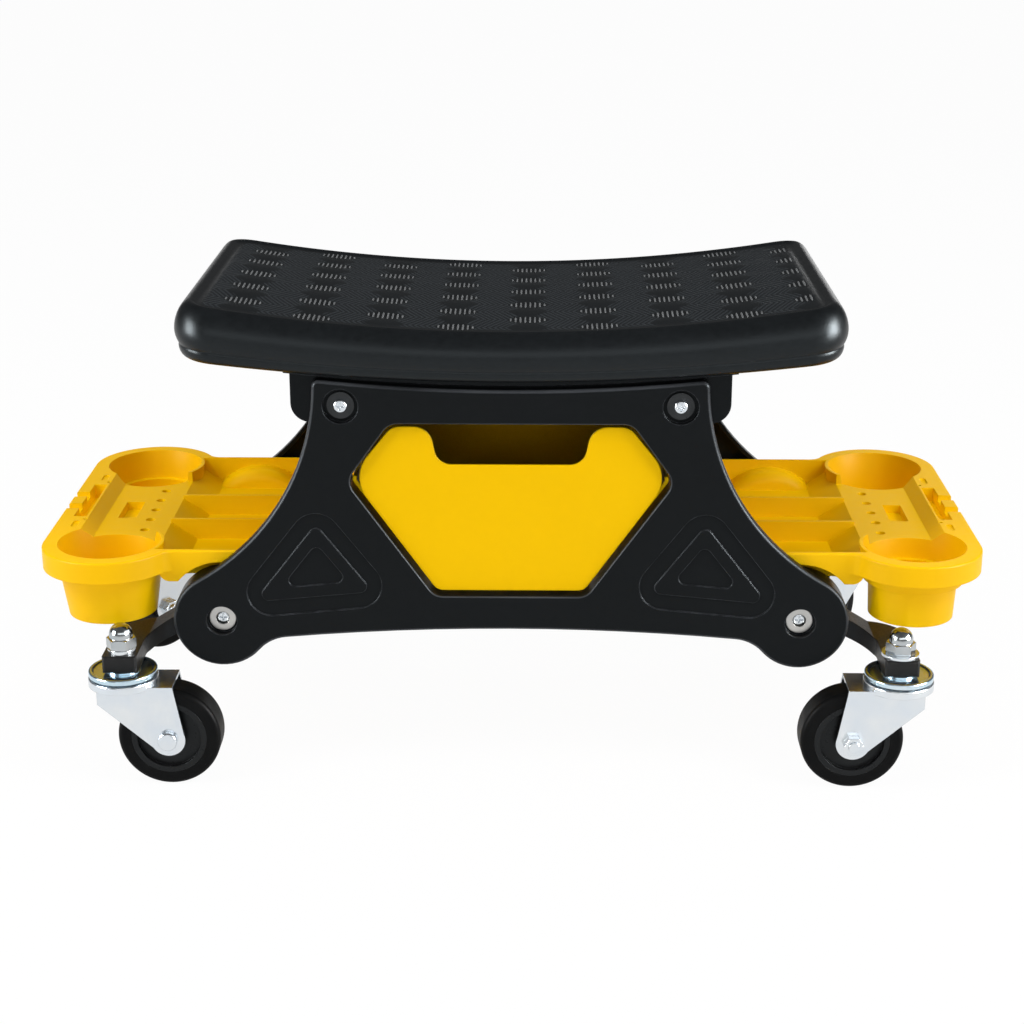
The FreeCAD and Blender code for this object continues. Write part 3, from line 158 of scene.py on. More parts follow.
# a range of four numbers, such as the one for the edge marks, is low, high and the noise values where they
# are reached
plasticNoise = {"cloudSize": 0.09, "fineSize": 0.006, "fineShare": 0.4, "wearAndHighlight": (0.2, 1, 0.35, 0.65)}
# edgeLight paints the edges of the black parts far lighter, mostly painted highlight
blackLook = {**plasticNoise, "colour": (0.0042, 0.0045, 0.0050), "tone": 0.22, "rough": 0.33,
             "roughSpread": 0.05, "grainSize": 0.0007, "grainDepth": 0.00003, "edge": 0.0012,
             "specular": 0.12, "sheen": (0.84, 0.95, 1.0, 1), "edgeLight": 16.0}
# the bend values paint highlight on the panels' rounded rims and steps
panelLook = {**blackLook, "bend": 0.8, "bendFrom": (0.2, 0.5), "bendTo": (0.90, 0.985),
             "bendPatches": (0.4, 1, 0.3, 0.6)}
# recess is a painted bounce-light colour for the yellow recesses
yellowLook = {**plasticNoise, "tone": 0.04, "rough": 0.42, "roughSpread": 0.06, "grainSize": 0.0008,
              "grainDepth": 0.00002, "edge": 0.0008, "specular": 0.08, "sheen": (1, 1, 1, 1),
              "edgeLight": 1.06, "recess": (1.0, 0.68, 0.0), "recessReach": 0.05,
              "recessRange": (0.25, 0.85), "recessSamples": 4}
trayLook = {**yellowLook, "colour": (0.92, 0.515, 0.0)}
# the drawer's hollow values paint shade on its inside
drawerLook = {**yellowLook, "colour": (0.885, 0.518, 0.0), "specular": 0.04, "hollowShade": 0.12,
              "hollowReach": 0.16, "hollowRange": (0.22, 0.58), "hollowSamples": 16}
coreLook = {**plasticNoise, "colour": (0.0075, 0.0075, 0.0078), "tone": 0.2, "rough": 0.32,
            "roughSpread": 0.08, "grainSize": 0.0010, "grainDepth": 0.00001, "edge": 0.0006,
            "specular": 0.2, "sheen": (0.9, 0.97, 1.0, 1), "edgeLight": 1.6}
washerLook = {**plasticNoise, "colour": (0.014, 0.014, 0.015), "tone": 0.25, "rough": 0.36,
              "roughSpread": 0.1, "grainSize": 0.0005, "grainDepth": 0.00001, "edge": 0.0003,
              "specular": 0.4, "sheen": (0.9, 0.97, 1.0, 1), "edgeLight": 2.2}


def mouldedPlastic(name, look):
    material, tree, shader = startMaterial(name, {"Specular IOR Level": look["specular"],
                                                  "Specular Tint": look["sheen"]})
    coords = objectCoords(tree)
    cloud = noiseOf(tree, coords, look["cloudSize"], detail=4)
    fine = noiseOf(tree, coords, look["fineSize"], detail=5, rough=0.6)
    grain = noiseOf(tree, coords, look["grainSize"], detail=2)
    mottle = calc(tree, "MULTIPLY_ADD", fine, look["fineShare"],
                  calc(tree, "MULTIPLY", cloud, 1 - look["fineShare"]))
    colour = blendColours(tree, mottle, shade(look["colour"], 1 - look["tone"]),
                          shade(look["colour"], 1 + look["tone"]))
    # moulded edges are painted lighter, partly scuffing and partly painted highlight
    scuffAndHighlight = shade(look["colour"], look["edgeLight"])
    soft = softEdges(tree, look["edge"])
    edgeMarked = calc(tree, "MULTIPLY", edgeShare(tree, soft), spread(tree, fine, *look["wearAndHighlight"]))
    colour = blendColours(tree, edgeMarked, colour, scuffAndHighlight)
    if "bend" in look:
        # painted highlight: the rounded rims and steps of the front and back, turned partly away from facing
        # front or back, are painted lighter in patches
        turned = calc(tree, "ABSOLUTE", addNode(tree, "SeparateXYZ", {0: facingOf(tree)}).outputs[1])
        bend = calc(tree, "MULTIPLY", spread(tree, turned, 0, look["bend"], *look["bendFrom"]),
                    spread(tree, turned, 1, 0, *look["bendTo"]))
        bend = calc(tree, "MULTIPLY", bend, spread(tree, cloud, *look["bendPatches"]))
        colour = blendColours(tree, bend, colour, scuffAndHighlight)
    if "recess" in look:
        # painted bounce light: recesses are tinted a brighter, warmer yellow, standing in for light bouncing
        # between the yellow walls
        nook = openShare(tree, look["recessReach"], look["recessSamples"])
        colour = blendColours(tree, spread(tree, nook, 1, 0, *look["recessRange"]), colour, look["recess"])
    if "hollowShade" in look:
        # painted shade: the inside of the drawer is darkened where other surfaces shelter it
        inside = addNode(tree, "Attribute", attribute_name="inside").outputs["Fac"]
        shelter = openShare(tree, look["hollowReach"], look["hollowSamples"])
        paintedShade = calc(tree, "MULTIPLY", inside, spread(tree, shelter, 1, 0, *look["hollowRange"]))
        colour = blendColours(tree, paintedShade, colour, shade(look["colour"], look["hollowShade"]))
    setSurface(tree, shader, colour, roughAround(tree, fine, look))
    setBump(tree, shader, grain, look["grainDepth"], soft=soft)
    return material


zincLook = {"cool": (0.68, 0.73, 0.78), "warm": (0.74, 0.77, 0.79), "cloudSize": 0.018,
            "clouding": (0, 1, 0.35, 0.7), "fineSize": 0.0025, "rough": 0.22, "roughSpread": 0.05,
            "edge": 0.0007, "streakSize": 0.0012, "streakStretch": (1, 1, 0.08), "streakDepth": 0.000006}
dullSteelLook = {**zincLook, "cool": (0.46, 0.46, 0.45), "warm": (0.56, 0.55, 0.52), "rough": 0.34}
nutLook = {**zincLook, "cool": (0.40, 0.44, 0.46), "warm": (0.50, 0.52, 0.53), "rough": 0.16}
blueZincLook = {**zincLook, "cool": (0.50, 0.66, 0.76), "warm": (0.64, 0.74, 0.80)}


def zincPlate(name, look):
    material, tree, shader = startMaterial(name, {"Metallic": 1.0})
    coords = objectCoords(tree)
    cloud = noiseOf(tree, coords, look["cloudSize"], detail=3)
    fine = noiseOf(tree, coords, look["fineSize"], detail=4, rough=0.65)
    stretched = stretchedCoords(tree, coords, look["streakStretch"])
    streak = noiseOf(tree, stretched, look["streakSize"], detail=2)
    colour = blendColours(tree, spread(tree, cloud, *look["clouding"]), look["cool"], look["warm"])
    setSurface(tree, shader, colour, roughAround(tree, fine, look))
    setBump(tree, shader, streak, look["streakDepth"], soft=softEdges(tree, look["edge"]))
    return material


armLook = {"colour": (0.009, 0.009, 0.0092), "dark": 0.75, "light": 1.5, "bare": (0.11, 0.10, 0.09),
           "specular": 0.22, "rough": 0.41, "roughSpread": 0.11, "edge": 0.001, "cloudSize": 0.02,
           "chipSize": 0.0022, "chipping": (0, 1, 0.5, 0.62), "chipDepth": 0.00006, "chipStrength": 0.8}


def paintedBar(name, look):
    material, tree, shader = startMaterial(name, {"Specular IOR Level": look["specular"]})
    coords = objectCoords(tree)
    cloud = noiseOf(tree, coords, look["cloudSize"], detail=4)
    chips = noiseOf(tree, coords, look["chipSize"], detail=5, rough=0.7)
    soft = softEdges(tree, look["edge"])
    # paint is worn to bare metal along the edges
    edgeMarked = calc(tree, "MULTIPLY", edgeShare(tree, soft), spread(tree, chips, *look["chipping"]))
    colour = blendColours(tree, edgeMarked, darkToLight(tree, cloud, look), look["bare"])
    setSurface(tree, shader, colour, roughAround(tree, chips, look))
    setBump(tree, shader, chips, look["chipDepth"], look["chipStrength"], soft)
    return material


tyreLook = {"colour": (0.0042, 0.0044, 0.0046), "dust": (0.010, 0.010, 0.0100), "specular": 0.06,
            "rough": 0.44, "roughSpread": 0.1, "edge": 0.0008, "cloudSize": 0.012,
            "dusting": (0, 0.5, 0.5, 0.75), "scratchSize": 0.004, "scratchStretch": (1, 9, 1),
            "scratching": (0.2, 1, 0.4, 0.7), "scratchDepth": 0.00005, "scratchStrength": 0.8}


def wheelTyre(name, look):
    material, tree, shader = startMaterial(name, {"Specular IOR Level": look["specular"]})
    coords = objectCoords(tree)
    cloud = noiseOf(tree, coords, look["cloudSize"], detail=5, rough=0.65)
    stretched = stretchedCoords(tree, coords, look["scratchStretch"])
    scratches = noiseOf(tree, stretched, look["scratchSize"], detail=4)
    dusty = calc(tree, "MULTIPLY", spread(tree, cloud, *look["dusting"]),
                 spread(tree, scratches, *look["scratching"]))
    colour = blendColours(tree, dusty, look["colour"], look["dust"])
    setSurface(tree, shader, colour, roughAround(tree, cloud, look))
    soft = softEdges(tree, look["edge"])
    setBump(tree, shader, scratches, look["scratchDepth"], look["scratchStrength"], soft)
    return material


baseBlack = mouldedPlastic("baseBlack", blackLook)
panelBlack = mouldedPlastic("panelBlack", panelLook)
trayYellow = mouldedPlastic("trayYellow", trayLook)
drawerYellow = mouldedPlastic("drawerYellow", drawerLook)
coreBlack = mouldedPlastic("coreBlack", coreLook)
washerBlack = mouldedPlastic("washerBlack", washerLook)
brightZinc = zincPlate("brightZinc", zincLook)
blueZinc = zincPlate("blueZinc", blueZincLook)
dullSteel = zincPlate("dullSteel", dullSteelLook)
nutZinc = zincPlate("nutZinc", nutLook)
armBlack = paintedBar("armBlack", armLook)
tyreBlack = wheelTyre("tyreBlack", tyreLook)

finishOf = {"seat_base": baseBlack, "front_panel": panelBlack, "rear_panel": panelBlack,
            "left_tray": trayYellow, "right_tray": trayYellow, "upper_washers": washerBlack,
            "lower_bushes": dullSteel, "cap_nuts": nutZinc, "lower_nuts": nutZinc}
finishByStart = {"stem_": blueZinc, "arm_": armBlack, "tyre_": tyreBlack, "wheel_core_": coreBlack,
                 "axle_bush_": coreBlack}
for nodeName, node in nodes.items():
    finish = finishOf.get(nodeName, brightZinc)
    for start, startFinish in finishByStart.items():
        if nodeName.startswith(start):
            finish = startFinish
    if not node.material_slots:
        node.data.materials.append(finish)
    for materialSlot in node.material_slots:
        materialSlot.material = finish
print("finishes on the frame's nodes")


# Seat cushion

cushionSizes = {"halfLength": 0.2375, "halfDepth": 0.131, "underZ": 0.2984, "underBend": 1.80,
                "creaseZ": 0.3330, "topBend": 1.35, "planCorner": 0.028, "leastCorner": 0.006,
                "crown": 0.0028, "pillowHeight": 0.0006, "pillowHalf": 0.021, "pillowPower": 1.2,
                "fieldHalfX": 0.216, "fieldHalfY": 0.110, "fieldFade": 0.012, "alongCount": 120,
                "acrossCount": 68}
# inset from the outer edge and share of the height up to the crease,
# from the edge of the underside to the top of the seat
cushionEdge = [(0.0110, 0.000), (0.0066, 0.012), (0.0040, 0.070), (0.0028, 0.150), (0.0025, 0.225),
               (0.0034, 0.248), (0.0022, 0.272), (0.0005, 0.375), (0.0000, 0.490), (0.0006, 0.620),
               (0.0024, 0.770), (0.0054, 0.920), (0.0090, 1.015), (0.0120, 1.043), (0.0140, 1.030),
               (0.0154, 0.998), (0.0168, 0.992), (0.0195, 1.004)]
ribLayout = {"firstColumn": -0.191, "columnPitch": 0.0507, "columns": 9, "lastX": 0.2135,
             "firstRow": -0.0834, "rowPitch": 0.0417, "rows": 5, "ribs": 8, "ribPitch": 0.00345,
             "halfRib": 0.0070, "leastHalf": 0.0006, "ribWidth": 0.0015, "ribHeight": 0.0007,
             "sunk": 0.0006, "lensReach": 0.0136, "lensPower": 3, "endPower": 6, "arcSteps": 6,
             "lengthShares": (-0.97, -0.82, -0.45, 0.0, 0.45, 0.82, 0.97)}


def saddleAt(x, share):
    # height of the underside at share 0 and of the crease at share 1
    low = cushionSizes["underZ"] + x * x / (2 * cushionSizes["underBend"])
    high = cushionSizes["creaseZ"] + x * x / (2 * cushionSizes["topBend"])
    return low + (high - low) * share


def ribGroups():
    groups = []
    for column in range(ribLayout["columns"]):
        x = ribLayout["firstColumn"] + column * ribLayout["columnPitch"]
        odd = column % 2
        for row in range(ribLayout["rows"] + odd):
            groups.append((x, ribLayout["firstRow"] + (row - odd / 2) * ribLayout["rowPitch"]))
    return groups


def fieldShare(distance, half):
    # 1 within the patterned field, fading to 0 at its edge
    return min(1.0, max(0.0, (half - abs(distance)) / cushionSizes["fieldFade"]))


def weaveAt(x, y):
    # smooth pillows between the rib groups of a column, shallow hollows under the ribs
    column = round((x - ribLayout["firstColumn"]) / ribLayout["columnPitch"])
    dx = x - ribLayout["firstColumn"] - column * ribLayout["columnPitch"]
    start = ribLayout["firstRow"] - (column % 2) * ribLayout["rowPitch"] / 2
    wave = math.cos(math.tau * (y - start) / ribLayout["rowPitch"])
    hump = max(0.0, 1 - (dx / cushionSizes["pillowHalf"]) ** 2) ** cushionSizes["pillowPower"]
    rim = fieldShare(y, cushionSizes["fieldHalfY"]) * fieldShare(x, cushionSizes["fieldHalfX"])
    return -wave * hump * rim * cushionSizes["pillowHeight"]


def topAt(x, y):
    bow = 1 - (y / (cushionSizes["halfDepth"] - cushionEdge[-1][0])) ** 2
    return saddleAt(x, 1.0) + cushionSizes["crown"] * bow + weaveAt(x, y)


def roundedRing(inset):
    # points round the plan outline, each side starting at the middle of a corner
    halfX = cushionSizes["halfLength"] - inset
    halfY = cushionSizes["halfDepth"] - inset
    radius = max(cushionSizes["planCorner"] - inset, cushionSizes["leastCorner"])
    points = []
    for side in range(4):
        along, across = (halfX, halfY) if side % 2 == 0 else (halfY, halfX)
        count = cushionSizes["alongCount"] if side % 2 == 0 else cushionSizes["acrossCount"]
        bend = radius * math.pi / 4
        straight = 2 * (along - radius)
        turn = side * math.pi / 2
        for step in range(count):
            run = step / count * (straight + 2 * bend)
            if run < bend:
                angle = math.radians(135) - run / radius
                u, v = -along + radius + radius * math.cos(angle), across - radius + radius * math.sin(angle)
            elif run < bend + straight:
                u, v = -along + radius + run - bend, across
            else:
                angle = math.radians(90) - (run - bend - straight) / radius
                u, v = along - radius + radius * math.cos(angle), across - radius + radius * math.sin(angle)
            points.append((u * math.cos(turn) + v * math.sin(turn), u * math.sin(turn) - v * math.cos(turn)))
    return points


def fillGrid(ring):
    # a grid of points inside a ring, blended from its four sides
    nx, ny = cushionSizes["alongCount"], cushionSizes["acrossCount"]
    ringFlat = [Vector(point) for point in ring]
    low = [ringFlat[i] for i in range(nx + 1)]
    right = [ringFlat[nx + j] for j in range(ny + 1)]
    high = [ringFlat[nx + ny + nx - i] for i in range(nx + 1)]
    left = [ringFlat[(2 * nx + 2 * ny - j) % len(ringFlat)] for j in range(ny + 1)]
    grid = {}
    for i in range(nx + 1):
        u = i / nx
        for j in range(ny + 1):
            v = j / ny
            corners = (low[0] * ((1 - u) * (1 - v)) + low[nx] * (u * (1 - v))
                       + high[0] * ((1 - u) * v) + high[nx] * (u * v))
            grid[i, j] = low[i] * (1 - v) + high[i] * v + left[j] * (1 - u) + right[j] * u - corners
    return grid


def ringIndex(i, j):
    # place on the ring of a point at the edge of the grid
    nx, ny = cushionSizes["alongCount"], cushionSizes["acrossCount"]
    if j == 0:
        return i
    if i == nx:
        return nx + j
    if j == ny:
        return 2 * nx + ny - i
    if i == 0:
        return (2 * nx + 2 * ny - j) % (2 * nx + 2 * ny)
    return None


def makeCushion():
    points = []
    faces = []
    rings = []
    topField = []
    for inset, share in cushionEdge:
        ring = roundedRing(inset)
        rings.append([len(points) + k for k in range(len(ring))])
        for x, y in ring:
            points.append((x, y, saddleAt(x, share)))
            topField.append(0.0)
    for lower, upper in zip(rings, rings[1:]):
        count = len(lower)
        for k in range(count):
            faces.append((lower[k], lower[(k + 1) % count], upper[(k + 1) % count], upper[k]))
    for ring, inset, top in ((rings[-1], cushionEdge[-1][0], True), (rings[0], cushionEdge[0][0], False)):
        grid = fillGrid(roundedRing(inset))
        place = {}
        for (i, j), spot in grid.items():
            edge = ringIndex(i, j)
            if edge is not None:
                place[i, j] = ring[edge]
                continue
            place[i, j] = len(points)
            points.append((spot.x, spot.y, topAt(spot.x, spot.y) if top else saddleAt(spot.x, 0.0)))
            topField.append(1.0 if top else 0.0)
        for i in range(cushionSizes["alongCount"]):
            for j in range(cushionSizes["acrossCount"]):
                quad = (place[i, j], place[i + 1, j], place[i + 1, j + 1], place[i, j + 1])
                faces.append(quad if top else quad[::-1])
    mesh = bpy.data.meshes.new("seatCushion")
    mesh.from_pydata(points, [], faces)
    field = mesh.attributes.new("topField", "FLOAT", "POINT")
    field.data.foreach_set("value", topField)
    mesh.polygons.foreach_set("use_smooth", [True] * len(mesh.polygons))
    cushion = bpy.data.objects.new("seat_cushion_pad", mesh)
    bpy.context.scene.collection.objects.link(cushion)
    smooth = cushion.modifiers.new("smooth", "SUBSURF")
    smooth.levels = smooth.render_levels = 1
    return cushion


def makeRibs():
    # short raised bars, longest in the middle of each group
    points = []
    faces = []
    arcSteps = ribLayout["arcSteps"]
    for groupX, groupY in ribGroups():
        for rib in range(ribLayout["ribs"]):
            shift = (rib - (ribLayout["ribs"] - 1) / 2) * ribLayout["ribPitch"]
            if groupX + shift > ribLayout["lastX"]:
                continue  # the last column runs off the flat top
            lens = 1 - abs(shift / ribLayout["lensReach"]) ** ribLayout["lensPower"]
            half = ribLayout["halfRib"] * lens + ribLayout["leastHalf"]
            loops = []
            for share in ribLayout["lengthShares"]:
                swell = math.sqrt(1 - share ** ribLayout["endPower"])
                y = groupY + share * half
                loop = []
                for step in range(arcSteps + 1):
                    angle = math.pi * step / arcSteps
                    x = groupX + shift + ribLayout["ribWidth"] / 2 * swell * math.cos(angle)
                    sunk = ribLayout["sunk"] if step in (0, arcSteps) else 0.0
                    lift = ribLayout["ribHeight"] * swell * math.sin(angle) - sunk
                    loop.append(len(points))
                    points.append((x, y, topAt(groupX + shift, y) + lift))
                loops.append(loop)
            size = len(loops[0])
            for lower, upper in zip(loops, loops[1:]):
                for k in range(size):
                    faces.append((lower[k], upper[k], upper[(k + 1) % size], lower[(k + 1) % size]))
            faces.append(tuple(loops[0]))
            faces.append(tuple(reversed(loops[-1])))
    mesh = bpy.data.meshes.new("seatRibs")
    mesh.from_pydata(points, [], faces)
    mesh.polygons.foreach_set("use_smooth", [True] * len(mesh.polygons))
    ribs = bpy.data.objects.new("seat_ribs", mesh)
    bpy.context.scene.collection.objects.link(ribs)
    return ribs


skinLook = {"colour": (0.0046, 0.0053, 0.0060), "dark": 0.6, "light": 5.0, "specular": 0.24,
            "sheen": (0.84, 0.95, 1.0, 1), "rough": 0.33, "topRough": 0.20, "roughSpread": 0.04,
            "cloudSize": 0.05, "fineSize": 0.005, "clouding": 0.15, "grainSize": 0.0011,
            "grainDepth": 0.00005, "hatchPeriod": 0.0040, "hatchSlant": 0.6, "hatchDepth": 0.00018,
            "lineLight": 0.4, "stripLight": 0.38, "stripEdge": (-0.0010, 0.0016), "lensHalf": 0.0105,
            "lensSwing": 0.0035}


def cushionSkin(name, look):
    material, tree, shader = startMaterial(name, {"Specular IOR Level": look["specular"],
                                                  "Specular Tint": look["sheen"]})
    coords = objectCoords(tree)
    split = addNode(tree, "SeparateXYZ", {0: coords})
    cloud = noiseOf(tree, coords, look["cloudSize"], detail=4)
    fine = noiseOf(tree, coords, look["fineSize"], detail=4, rough=0.6)
    grain = noiseOf(tree, coords, look["grainSize"], detail=2)
    field = addNode(tree, "Attribute", attribute_name="topField").outputs["Fac"]
    rough = calc(tree, "MULTIPLY_ADD", field, look["topRough"], roughAround(tree, fine, look))
    # fine slanting lines in the strips between the rib columns
    sideways = calc(tree, "PINGPONG", calc(tree, "SUBTRACT", split.outputs[0], ribLayout["firstColumn"]),
                    ribLayout["columnPitch"] / 2)
    rounds = calc(tree, "MULTIPLY", calc(tree, "SUBTRACT", split.outputs[1], ribLayout["firstRow"]),
                  2 * math.tau / ribLayout["rowPitch"])
    lens = calc(tree, "MULTIPLY_ADD", calc(tree, "COSINE", rounds), look["lensSwing"], look["lensHalf"])
    strip = spread(tree, calc(tree, "SUBTRACT", sideways, lens), 0, 1, *look["stripEdge"])
    strip = calc(tree, "MULTIPLY", strip, field)
    zigzag = calc(tree, "PINGPONG", split.outputs[1], ribLayout["rowPitch"] / 2)
    slant = calc(tree, "MULTIPLY_ADD", zigzag, look["hatchSlant"], split.outputs[0])
    lines = calc(tree, "SINE", calc(tree, "MULTIPLY", slant, math.tau / look["hatchPeriod"]))
    hatch = calc(tree, "MULTIPLY", calc(tree, "MULTIPLY", lines, strip), look["hatchDepth"])
    cloudy = calc(tree, "MULTIPLY_ADD", fine, look["clouding"],
                  calc(tree, "MULTIPLY", cloud, look["clouding"]))
    lit = calc(tree, "MULTIPLY_ADD", lines, look["lineLight"], look["stripLight"])
    patch = calc(tree, "MULTIPLY_ADD", strip, lit, cloudy)
    setSurface(tree, shader, darkToLight(tree, patch, look), rough)
    setBump(tree, shader, calc(tree, "MULTIPLY_ADD", grain, look["grainDepth"], hatch), 1.0)
    return material


# rubbed places are lighter and smoother, so the spread of the roughness is below 0
# the ribs are painted far lighter than the skin around them, partly worn grey and partly painted highlight on
# the raised ribs
ribLook = {"colour": (0.125, 0.130, 0.134), "dark": 0.85, "light": 1.12, "specular": 0.3, "rough": 0.52,
           "roughSpread": -0.08, "rubSize": 0.006, "rubbing": (0, 1, 0.35, 0.65), "grainSize": 0.0008,
           "grainDepth": 0.00003}


def ribSkin(name, look):
    material, tree, shader = startMaterial(name, {"Specular IOR Level": look["specular"]})
    coords = objectCoords(tree)
    rubbed = noiseOf(tree, coords, look["rubSize"], detail=4, rough=0.6)
    grain = noiseOf(tree, coords, look["grainSize"], detail=2)
    colour = darkToLight(tree, spread(tree, rubbed, *look["rubbing"]), look)
    setSurface(tree, shader, colour, roughAround(tree, rubbed, look))
    setBump(tree, shader, grain, look["grainDepth"])
    return material


cushion = makeCushion()
cushion.data.materials.append(cushionSkin("cushionSkin", skinLook))
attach(cushion, "frame")
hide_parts("seat_cushion")
ribs = makeRibs()
ribs.data.materials.append(ribSkin("ribSkin", ribLook))
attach(ribs, "frame")
print("cushion and ribs:", len(cushion.data.polygons), len(ribs.data.polygons), "faces")


# Drawer

# corners of the front, of the bin behind it and of the handle notch on one side: x, z and their radius
drawerSizes = {"outline": [(0.05345, 0.1410, 0.009), (0.11470, 0.2275, 0.026), (0.08446, 0.2650, 0.012)],
               "section": [(0.05345, 0.1410, 0.009), (0.11420, 0.2252, 0.004), (0.08446, 0.2650, 0.009)],
               "notch": [(0.0580, 0.2650, 0.014), (0.0520, 0.2365, 0.012)], "wall": 0.003, "sideZ": 0.240,
               "setback": 0.8, "runnerX": 0.036, "runnerWidth": 0.005, "runnerGap": 0.009, "bendSteps": 9,
               "softEdge": 0.0006, "softSteps": 2, "softAngle": 40}


def roundedOutline(corners):
    points = []
    for place, (x, z, radius) in enumerate(corners):
        here = Vector((x, z))
        back = (Vector(corners[place - 1][:2]) - here).normalized()
        onward = (Vector(corners[(place + 1) % len(corners)][:2]) - here).normalized()
        half = back.angle(onward) / 2
        middle = here + (back + onward).normalized() * radius / math.sin(half)
        first = (here + back * radius / math.tan(half) - middle).normalized()
        last = (here + onward * radius / math.tan(half) - middle).normalized()
        for step in range(drawerSizes["bendSteps"] + 1):
            points.append(middle + first.slerp(last, step / drawerSizes["bendSteps"]) * radius)
    return points


def mirrorCorners(half):
    return half + [(-x, z, radius) for x, z, radius in reversed(half)]


def addPrism(points, faces, inside, outline, nearY, farY, inner):
    # inner gives 1 for the points that face into the drawer
    start, count = len(points), len(outline)
    inside.extend(inner)
    for y in (nearY, farY):
        points.extend((spot.x, y, spot.y) for spot in outline)
    faces.append(tuple(range(start, start + count)))
    faces.append(tuple(range(start + 2 * count - 1, start + count - 1, -1)))
    for k in range(count):
        after = (k + 1) % count
        faces.append((start + k, start + count + k, start + count + after, start + after))


def tubSection():
    # floor and side walls as one open trough, cut off level at the rim
    ring = roundedOutline(mirrorCorners(drawerSizes["section"]))
    outer = [spot for spot in ring if spot.y <= drawerSizes["sideZ"]]
    outer.sort(key=lambda spot: math.atan2(spot.y - drawerSizes["sideZ"], spot.x))
    inner = []
    for place, spot in enumerate(outer):
        along = (outer[min(place + 1, len(outer) - 1)] - outer[max(place - 1, 0)]).normalized()
        inner.append(spot + Vector((-along.y, along.x)) * drawerSizes["wall"])
    inner[0].y, inner[-1].y = outer[0].y, outer[-1].y
    return outer + inner[::-1]


def makeDrawer():
    low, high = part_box("drawer")
    points = []
    faces = []
    inside = []
    wall = drawerSizes["wall"]
    plate = roundedOutline(mirrorCorners(drawerSizes["outline"] + drawerSizes["notch"]))
    outside, within = [0.0] * len(plate), [1.0] * len(plate)
    addPrism(points, faces, inside, plate, low[1], low[1] + wall, outside + within)
    addPrism(points, faces, inside, plate, high[1] - wall, high[1], within + outside)
    # the trough starts inside the thickness of the two ends
    tub = tubSection()
    setback = wall * drawerSizes["setback"]
    outside, within = [0.0] * (len(tub) // 2), [1.0] * (len(tub) // 2)
    addPrism(points, faces, inside, tub, low[1] + setback, high[1] - setback, (outside + within) * 2)
    # two runners underneath, let into the floor by a third of its thickness
    floorZ = drawerSizes["outline"][0][1] + wall / 3
    nearY, farY = low[1] + drawerSizes["runnerGap"], high[1] - drawerSizes["runnerGap"]
    for side in (-1, 1):
        left = side * drawerSizes["runnerX"] - drawerSizes["runnerWidth"] / 2
        right = left + drawerSizes["runnerWidth"]
        runner = [Vector(spot) for spot in ((left, low[2]), (right, low[2]), (right, floorZ), (left, floorZ))]
        addPrism(points, faces, inside, runner, nearY, farY, [0.0] * (2 * len(runner)))
    mesh = bpy.data.meshes.new("drawerBin")
    mesh.from_pydata(points, [], faces)
    mesh.attributes.new("inside", "FLOAT", "POINT").data.foreach_set("value", inside)
    shell = bmesh.new()
    shell.from_mesh(mesh)
    bmesh.ops.recalc_face_normals(shell, faces=shell.faces)
    shell.to_mesh(mesh)
    shell.free()
    made = bpy.data.objects.new("drawer_bin", mesh)
    bpy.context.scene.collection.objects.link(made)
    softened = made.modifiers.new("softened", "BEVEL")
    softened.width = drawerSizes["softEdge"]
    softened.segments = drawerSizes["softSteps"]
    softened.limit_method = "ANGLE"
    softened.angle_limit = math.radians(drawerSizes["softAngle"])
    return made


drawerBin = makeDrawer()
drawerBin.data.materials.append(drawerYellow)
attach(drawerBin, "drawer")
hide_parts("drawer")
print("drawer:", len(drawerBin.data.polygons), "faces")


# Floor, light and camera

floorLook = {"size": 60.0, "colour": (0.86, 0.86, 0.86), "glow": 0.965, "mirrored": 0.72}


def mirrorRays(tree, paths):
    # 1 for light that is seen in a shiny or a clear surface
    return calc(tree, "MAXIMUM", paths.outputs["Is Glossy Ray"], paths.outputs["Is Transmission Ray"])


def makeFloor():
    half = floorLook["size"] / 2
    mesh = bpy.data.meshes.new("floor")
    corners = [(-half, -half, 0), (half, -half, 0), (half, half, 0), (-half, half, 0)]
    mesh.from_pydata(corners, [], [(0, 1, 2, 3)])
    floor = bpy.data.objects.new("floor", mesh)
    bpy.context.scene.collection.objects.link(floor)
    material = bpy.data.materials.new("paleFloor")
    material.use_nodes = True
    tree = material.node_tree
    tree.nodes.clear()
    paths = addNode(tree, "LightPath")
    mirrored = calc(tree, "MULTIPLY", mirrorRays(tree, paths), floorLook["mirrored"])
    glow = calc(tree, "MULTIPLY", paths.outputs["Is Camera Ray"], floorLook["glow"])
    seen = calc(tree, "MAXIMUM", glow, mirrored)
    matt = addNode(tree, "BsdfDiffuse", {"Color": (*floorLook["colour"], 1)}).outputs[0]
    white = addNode(tree, "Emission", {"Color": (1, 1, 1, 1), "Strength": 1.0}).outputs[0]
    mixed = addNode(tree, "MixShader", {0: seen, 1: matt, 2: white}).outputs[0]
    addNode(tree, "OutputMaterial", {0: mixed})
    mesh.materials.append(material)


worldLook = {"fill": 0.32, "seen": 1.0, "glossy": 0.12}


def makeWorld():
    world = bpy.data.worlds.new("studio")
    bpy.context.scene.world = world
    world.use_nodes = True
    tree = world.node_tree
    tree.nodes.clear()
    paths = addNode(tree, "LightPath")
    strength = spread(tree, mirrorRays(tree, paths), worldLook["fill"], worldLook["glossy"])
    sockets = {0: paths.outputs["Is Camera Ray"], 2: strength, 3: worldLook["seen"]}
    strength = addNode(tree, "Mix", sockets).outputs[0]
    background = addNode(tree, "Background", {"Color": (1, 1, 1, 1), "Strength": strength}).outputs[0]
    addNode(tree, "OutputWorld", {0: background})


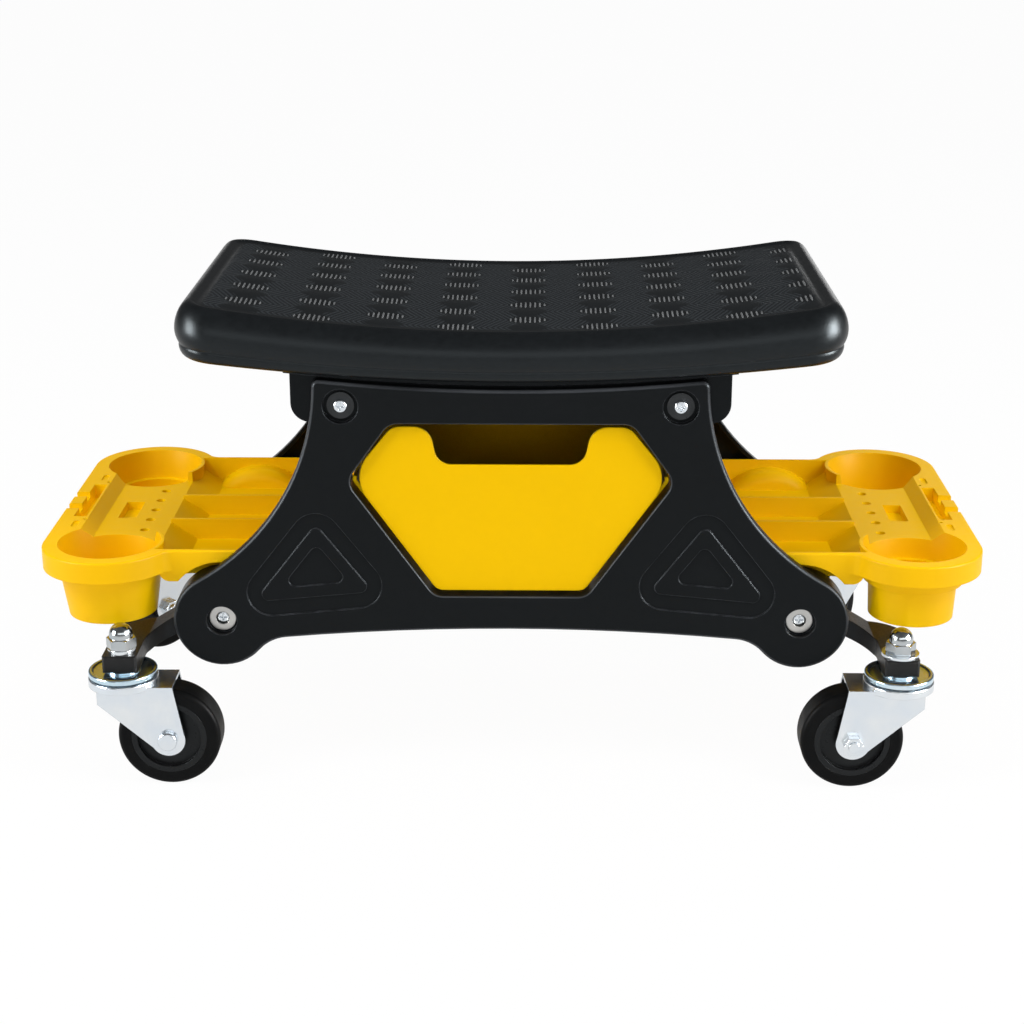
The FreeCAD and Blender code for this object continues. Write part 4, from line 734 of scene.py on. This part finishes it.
lampSet = {
    "topSoftbox": {"at": (0.0, -0.35, 1.9), "aim": (0, 0, 0.2), "size": (1.6, 1.0), "power": 8},
    "leftOverhead": {"at": (-1.2, -0.6, 1.3), "aim": (-0.2, 0, 0.15), "size": (0.7, 0.7), "power": 12},
    "rightOverhead": {"at": (1.2, -0.6, 1.3), "aim": (0.2, 0, 0.15), "size": (0.7, 0.7), "power": 12},
    "leftSoftbox": {"at": (-1.9, -1.0, 0.75), "aim": (0, 0, 0.3), "size": (0.5, 0.9), "power": 10},
    "rightSoftbox": {"at": (1.9, -1.0, 0.75), "aim": (0, 0, 0.3), "size": (0.5, 0.9), "power": 10},
    "backSoftbox": {"at": (0.0, 1.2, 2.0), "aim": (0, 0, 0.3), "size": (1.4, 0.6), "power": 6},
}
# white cards that only show in glossy surfaces
cardSet = {
    "leftCard": {"at": (-1.75, -0.85, 0.62), "aim": (-0.23, -0.12, 0.33), "size": (0.75, 0.75), "power": 55},
    "rightCard": {"at": (1.75, -0.75, 0.66), "aim": (0.23, -0.12, 0.33), "size": (0.9, 0.8), "power": 110},
    "frontCard": {"at": (0.35, -1.75, 0.80), "aim": (0, 0, 0.33), "size": (2.4, 0.45), "power": 7.5},
    "backRightCard": {"at": (0.95, 2.2, 0.42), "aim": (0.23, 0, 0.34), "size": (0.8, 0.5), "power": 2.2},
    "backLeftCard": {"at": (-0.95, 2.2, 0.42), "aim": (-0.23, 0, 0.34), "size": (0.8, 0.5), "power": 0.8},
}


def makeLamps():
    for name, lamp in {**lampSet, **cardSet}.items():
        data = bpy.data.lights.new(name, "AREA")
        data.shape = "RECTANGLE"
        data.size, data.size_y = lamp["size"]
        data.energy = lamp["power"]
        made = bpy.data.objects.new(name, data)
        made.location = lamp["at"]
        made.visible_camera = False
        made.visible_glossy = name in cardSet
        made.visible_diffuse = name in lampSet
        made.rotation_euler = (Vector(lamp["aim"]) - Vector(lamp["at"])).to_track_quat("-Z", "Y").to_euler()
        bpy.context.scene.collection.objects.link(made)


cameraSetup = {"at": (0.01884, -1.47673, 0.6690), "pitch": 19.0, "turn": 0.75, "lens": 70.3125,
               "sensor": 36.0, "nearest": 0.05}


def makeCamera():
    data = bpy.data.cameras.new("photoCamera")
    data.sensor_fit = "HORIZONTAL"
    data.sensor_width = cameraSetup["sensor"]
    data.lens = cameraSetup["lens"]
    data.clip_start = cameraSetup["nearest"]
    made = bpy.data.objects.new("photoCamera", data)
    made.location = cameraSetup["at"]
    made.rotation_euler = (math.radians(90 - cameraSetup["pitch"]), 0, math.radians(cameraSetup["turn"]))
    bpy.context.scene.collection.objects.link(made)
    bpy.context.scene.camera = made


makeFloor()
makeWorld()
makeLamps()
makeCamera()
bpy.context.scene.view_settings.view_transform = "Standard"
print("floor, light and camera set")
